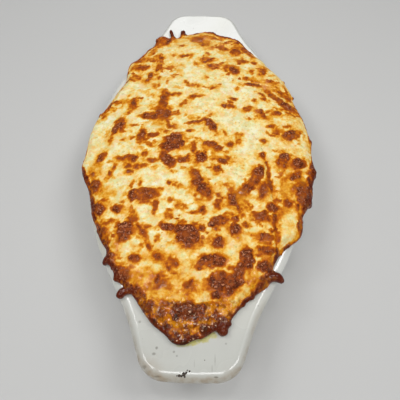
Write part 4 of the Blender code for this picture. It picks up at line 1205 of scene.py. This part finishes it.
def add_edge_lumps(body):
    """Uneven caramelised lumps along the blanket's edge."""
    edge = smooth_closed(CHEESE_EDGE, 190)
    for index, (x, y) in enumerate(edge):
        luck = lattice(np.int64(index), np.int64(3), 5)
        size_luck = lattice(np.int64(index), np.int64(4), 6)
        brown_side = float(ease(-y, 10.0, 60.0)) + 0.35 * float(ease(abs(y), 70.0, 110.0))
        if luck > 0.20 + 0.35 * min(1.0, brown_side) or (y < -106 and x < 0):
            continue                                # bare: luck, or the smooth left of the tip
        pull = 1.0 - (2.4 - 1.3 * size_luck) / math.hypot(x, y)
        radius = 1.0 + 1.0 * size_luck
        height = RIM / MM + REST_GAP + radius * 0.85 + 0.6 * luck
        squash = Matrix.Diagonal((1.15, 1.15, 0.9, 1.0))
        place = Matrix.Translation(Vector((x * pull, y * pull, height)) * MM) @ squash
        add_ball(body, radius * MM, place)


def remeshed(body, voxel):
    """One closed skin round everything in a bmesh."""
    mesh = bpy.data.meshes.new("rough_blanket")
    body.to_mesh(mesh)
    body.free()
    holder = bpy.data.objects.new("rough_blanket", mesh)
    bpy.context.scene.collection.objects.link(holder)
    wrap = holder.modifiers.new("melt", "REMESH")
    wrap.mode = "VOXEL"
    wrap.voxel_size = voxel
    soften = holder.modifiers.new("soften", "SMOOTH")
    soften.factor = 0.5
    soften.iterations = 4
    return evaluated_mesh(holder)


def coarse_underside(mesh):
    """Replaces the hidden underside by a few rings that follow the filling's dome."""
    dome = surface(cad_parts["pasta_filling"].data)
    body = bmesh.new()
    body.from_mesh(mesh)
    level = RIM + (REST_GAP + 0.9) * MM
    hidden = []
    for face in body.faces:
        middle = face.calc_center_median()
        x, y = topping_frame(*(np.array(middle.xy) / MM))
        if middle.z < level and math.hypot(x, y) < float(edge_reach(x, y)) * HIDDEN_SHARE:
            hidden.append(face)
    bmesh.ops.delete(body, geom=hidden, context="FACES")
    border = [edge for edge in body.edges if edge.is_boundary]
    for share in HIDDEN_RINGS:
        made = bmesh.ops.extrude_edge_only(body, edges=border)
        fresh = [item for item in made["geom"] if isinstance(item, bmesh.types.BMVert)]
        border = [item for item in made["geom"]
                  if isinstance(item, bmesh.types.BMEdge) and item.is_boundary]
        for vert in fresh:
            x, y = topping_frame(*(np.array(vert.co.xy) / MM))
            shrink = float(edge_reach(x, y)) * HIDDEN_SHARE * share / math.hypot(x, y)
            flat = lie_down(x * shrink, y * shrink)
            hit = plumb(dome, flat.x, flat.y)
            top = hit.z if hit else 0.0
            vert.co = (flat.x, flat.y, max(RIM, top) + REST_GAP * MM)
    ends = list({vert for edge in border for vert in edge.verts})
    top = plumb(dome, 0, 0).z
    bmesh.ops.pointmerge(body, verts=ends, merge_co=Vector((0, 0, top + REST_GAP * MM)))
    bmesh.ops.recalc_face_normals(body, faces=body.faces[:])
    body.to_mesh(mesh)
    body.free()


def brown_and_raise(mesh):
    """Raises the blisters and keeps the browning and the oil on the vertices."""
    places, normals = vertex_arrays(mesh)
    x, y = topping_frame(*(places[:, :2] / MM).T)
    height = places[:, 2] / MM - RIM / MM
    heat, bloom = browning(x, y)
    hang = ease(-height, -1.5, 1.5)
    heat = np.maximum(heat, hang * (0.74 + 0.10 * waves(x + height, y, 4.0, 121)))
    outside = ease(-inside_edge(x, y), -0.5, 0.6)
    heat = np.maximum(heat, outside * (0.80 + 0.10 * waves(x, y, 3.0, 122)))
    facing = ease(normals[:, 2], 0.1, 0.6) * ease(height, 0.6, 2.5)
    lift = relief(x, y, heat) * facing
    side = ease(normals[:, 2], -0.4, 0.0) * (1 - facing) * 0.35
    lift = lift + side * waves(x + height * 0.7, y, 2.6, 123)
    lift = np.where(normals[:, 2] < -0.5, 0.0, lift)
    places += normals * (lift * MM)[:, None] * (0.4, 0.4, 1.0)
    mesh.vertices.foreach_set("co", places.astype(np.float32).ravel())
    mesh.update()
    store(mesh, "browning", heat)
    store(mesh, "bloom", bloom)
    wet = 0.02 + 0.14 * ease(rough_waves(x, y, 7.0, 131), 0.15, 0.5)
    near = tip_share(x, y) * (0.75 + 0.25 * waves(x, y, 2.2, 132))
    near = near * (1.0 - 0.60 * ease(heat, 0.70, 0.84))
    sides = 0.5 * ease(8.0 - inside_edge(x, y), 0.0, 8.0) * ease(-y, 0.0, 60.0)
    sides = np.maximum(sides, 0.40 * oily(x, y))
    store(mesh, "oil", np.clip(np.maximum.reduce([wet, near, sides]), 0.0, 1.0))
    store(mesh, "rind", 1.0 - ease(inside_edge(x, y), 1.0, 7.0))
    store(mesh, "sauce", np.clip(tip_share(x, y) * ease(inside_edge(x, y), -1.0, 1.5), 0.0, 1.0))


class PASTA_OT_cheese(bpy.types.Operator):
    """Melt the cheese over the filling, with its blisters, creases and drips"""

    bl_idname = "pasta.cheese"
    bl_label = "Melted Cheese"

    def execute(self, context):
        settings = context.scene.pasta_cheese
        loft = Loft(blanket_rings(settings.around))
        top = RIM / MM + LIP + CROWN
        loft.pole(Vector((0, 0, top * MM)))
        bmesh.ops.recalc_face_normals(loft.body, faces=loft.body.faces[:])
        for path, radii in DRIPS:
            add_drip(loft.body, path, radii)
        add_edge_lumps(loft.body)
        lie = Matrix.Translation(Vector((*TOPPING_SHIFT, 0)) * MM)
        lie = lie @ Matrix.Diagonal((*TOPPING_SCALE, 1, 1))
        bmesh.ops.transform(loft.body, matrix=lie, verts=loft.body.verts)
        mesh = remeshed(loft.body, settings.voxel)
        coarse_underside(mesh)
        brown_and_raise(mesh)
        finish_mesh("melted_cheese", mesh, cheese_material(), ("cheese_topping",))
        return {"FINISHED"}


# ---- Stage -------------------------------------------------------------------------
# Soft boxes round the dish: name, place, width and height in metres, share of the power
STUDIO_LIGHTS = (
    ("front_box", (0.0, -0.50, 0.86), (0.44, 0.18), 0.20),
    ("left_front_box", (-0.42, -0.36, 0.84), (0.30, 0.16), 0.13),
    ("right_front_box", (0.42, -0.36, 0.84), (0.30, 0.16), 0.13),
    ("left_box", (-0.50, 0.06, 0.84), (0.22, 0.34), 0.24),
    ("right_box", (0.50, 0.06, 0.84), (0.22, 0.34), 0.26),
    ("back_box", (0.0, 0.80, 0.54), (0.56, 0.22), 0.13),
    ("top_box", (-0.01, 0.05, 0.90), (0.16, 0.09), 0.09),
)
WORLD_STRENGTH = 0.10         # even light from all round

# The camera's place from the middle of the rim, in lengths of the dish
CAMERA_PLACE = (0.0177, -0.5095, 0.7108)
CAMERA_TILT = 27.68           # degrees from straight down
CAMERA_TURN = 1.46            # degrees round the upright
CAMERA_LENS = 32.58           # millimetres, on a sensor of SENSOR_WIDTH
SENSOR_WIDTH = 36.0
FLOOR_HALF = 3.0              # metres


def add_light(name, place, target, size, power):
    """A soft box, turned to a target."""
    light = bpy.data.lights.new(name, "AREA")
    light.shape = "RECTANGLE"
    light.size, light.size_y = size
    light.energy = power
    lamp = bpy.data.objects.new(name, light)
    lamp.location = place
    lamp.rotation_euler = (Vector(target) - Vector(place)).to_track_quat("-Z", "Y").to_euler()
    bpy.context.scene.collection.objects.link(lamp)


class PASTA_OT_stage(bpy.types.Operator):
    """Set up the floor, the soft lights and the camera"""

    bl_idname = "pasta.stage"
    bl_label = "Studio Stage"

    def execute(self, context):
        settings = context.scene.pasta_stage
        scene = context.scene
        body = bmesh.new()
        bmesh.ops.create_grid(body, x_segments=1, y_segments=1, size=FLOOR_HALF)
        mesh = bpy.data.meshes.new("floor")
        body.to_mesh(mesh)
        body.free()
        mesh.materials.append(floor_material(settings))
        floor = bpy.data.objects.new("floor", mesh)
        scene.collection.objects.link(floor)

        for name, place, size, share in STUDIO_LIGHTS:
            add_light(name, place, (0, 0, RIM), size, settings.key_power * share)

        world = bpy.data.worlds.new("studio")
        world.use_nodes = True
        sky = world.node_tree.nodes["Background"].inputs
        sky["Color"].default_value = (1, 1, 1, 1)
        sky["Strength"].default_value = WORLD_STRENGTH
        scene.world = world
        scene.view_settings.view_transform = "Standard"

        camera = bpy.data.cameras.new("camera")
        camera.sensor_width = SENSOR_WIDTH
        camera.lens = CAMERA_LENS
        camera.clip_start = 0.01
        holder = bpy.data.objects.new("camera", camera)
        holder.location = Vector(CAMERA_PLACE) * 2 * HALF_LENGTH + Vector((0, 0, RIM))
        holder.rotation_euler = (math.radians(CAMERA_TILT), 0.0, math.radians(CAMERA_TURN))
        scene.collection.objects.link(holder)
        scene.camera = holder
        return {"FINISHED"}


# ---- Panel and registration ----------------------------------------------------------
class PASTA_PT_panel(bpy.types.Panel):
    """Steps of the baked pasta, in order"""

    bl_idname = "PASTA_PT_panel"
    bl_label = "Baked Pasta"
    bl_space_type = "VIEW_3D"
    bl_region_type = "UI"
    bl_category = "Baked pasta"

    def draw(self, context):
        column = self.layout.column(align=True)
        for step in STEPS:
            column.operator(step.bl_idname)


STEPS = (PASTA_OT_stage, PASTA_OT_dish, PASTA_OT_crumbs, PASTA_OT_filling, PASTA_OT_cheese)
CLASSES = (DishSettings, CheeseSettings, StageSettings) + STEPS + (PASTA_PT_panel,)


def register():
    for item in CLASSES:
        bpy.utils.register_class(item)
    bpy.types.Scene.pasta_dish = PointerProperty(type=DishSettings)
    bpy.types.Scene.pasta_cheese = PointerProperty(type=CheeseSettings)
    bpy.types.Scene.pasta_stage = PointerProperty(type=StageSettings)


def unregister():
    del bpy.types.Scene.pasta_stage
    del bpy.types.Scene.pasta_cheese
    del bpy.types.Scene.pasta_dish
    for item in reversed(CLASSES):
        bpy.utils.unregister_class(item)


def main():
    """Dresses the dish, step by step."""
    register()
    bpy.ops.pasta.stage()
    bpy.ops.pasta.dish()
    bpy.ops.pasta.crumbs()
    bpy.ops.pasta.filling()
    bpy.ops.pasta.cheese()


if __name__ == "__main__":
    main()
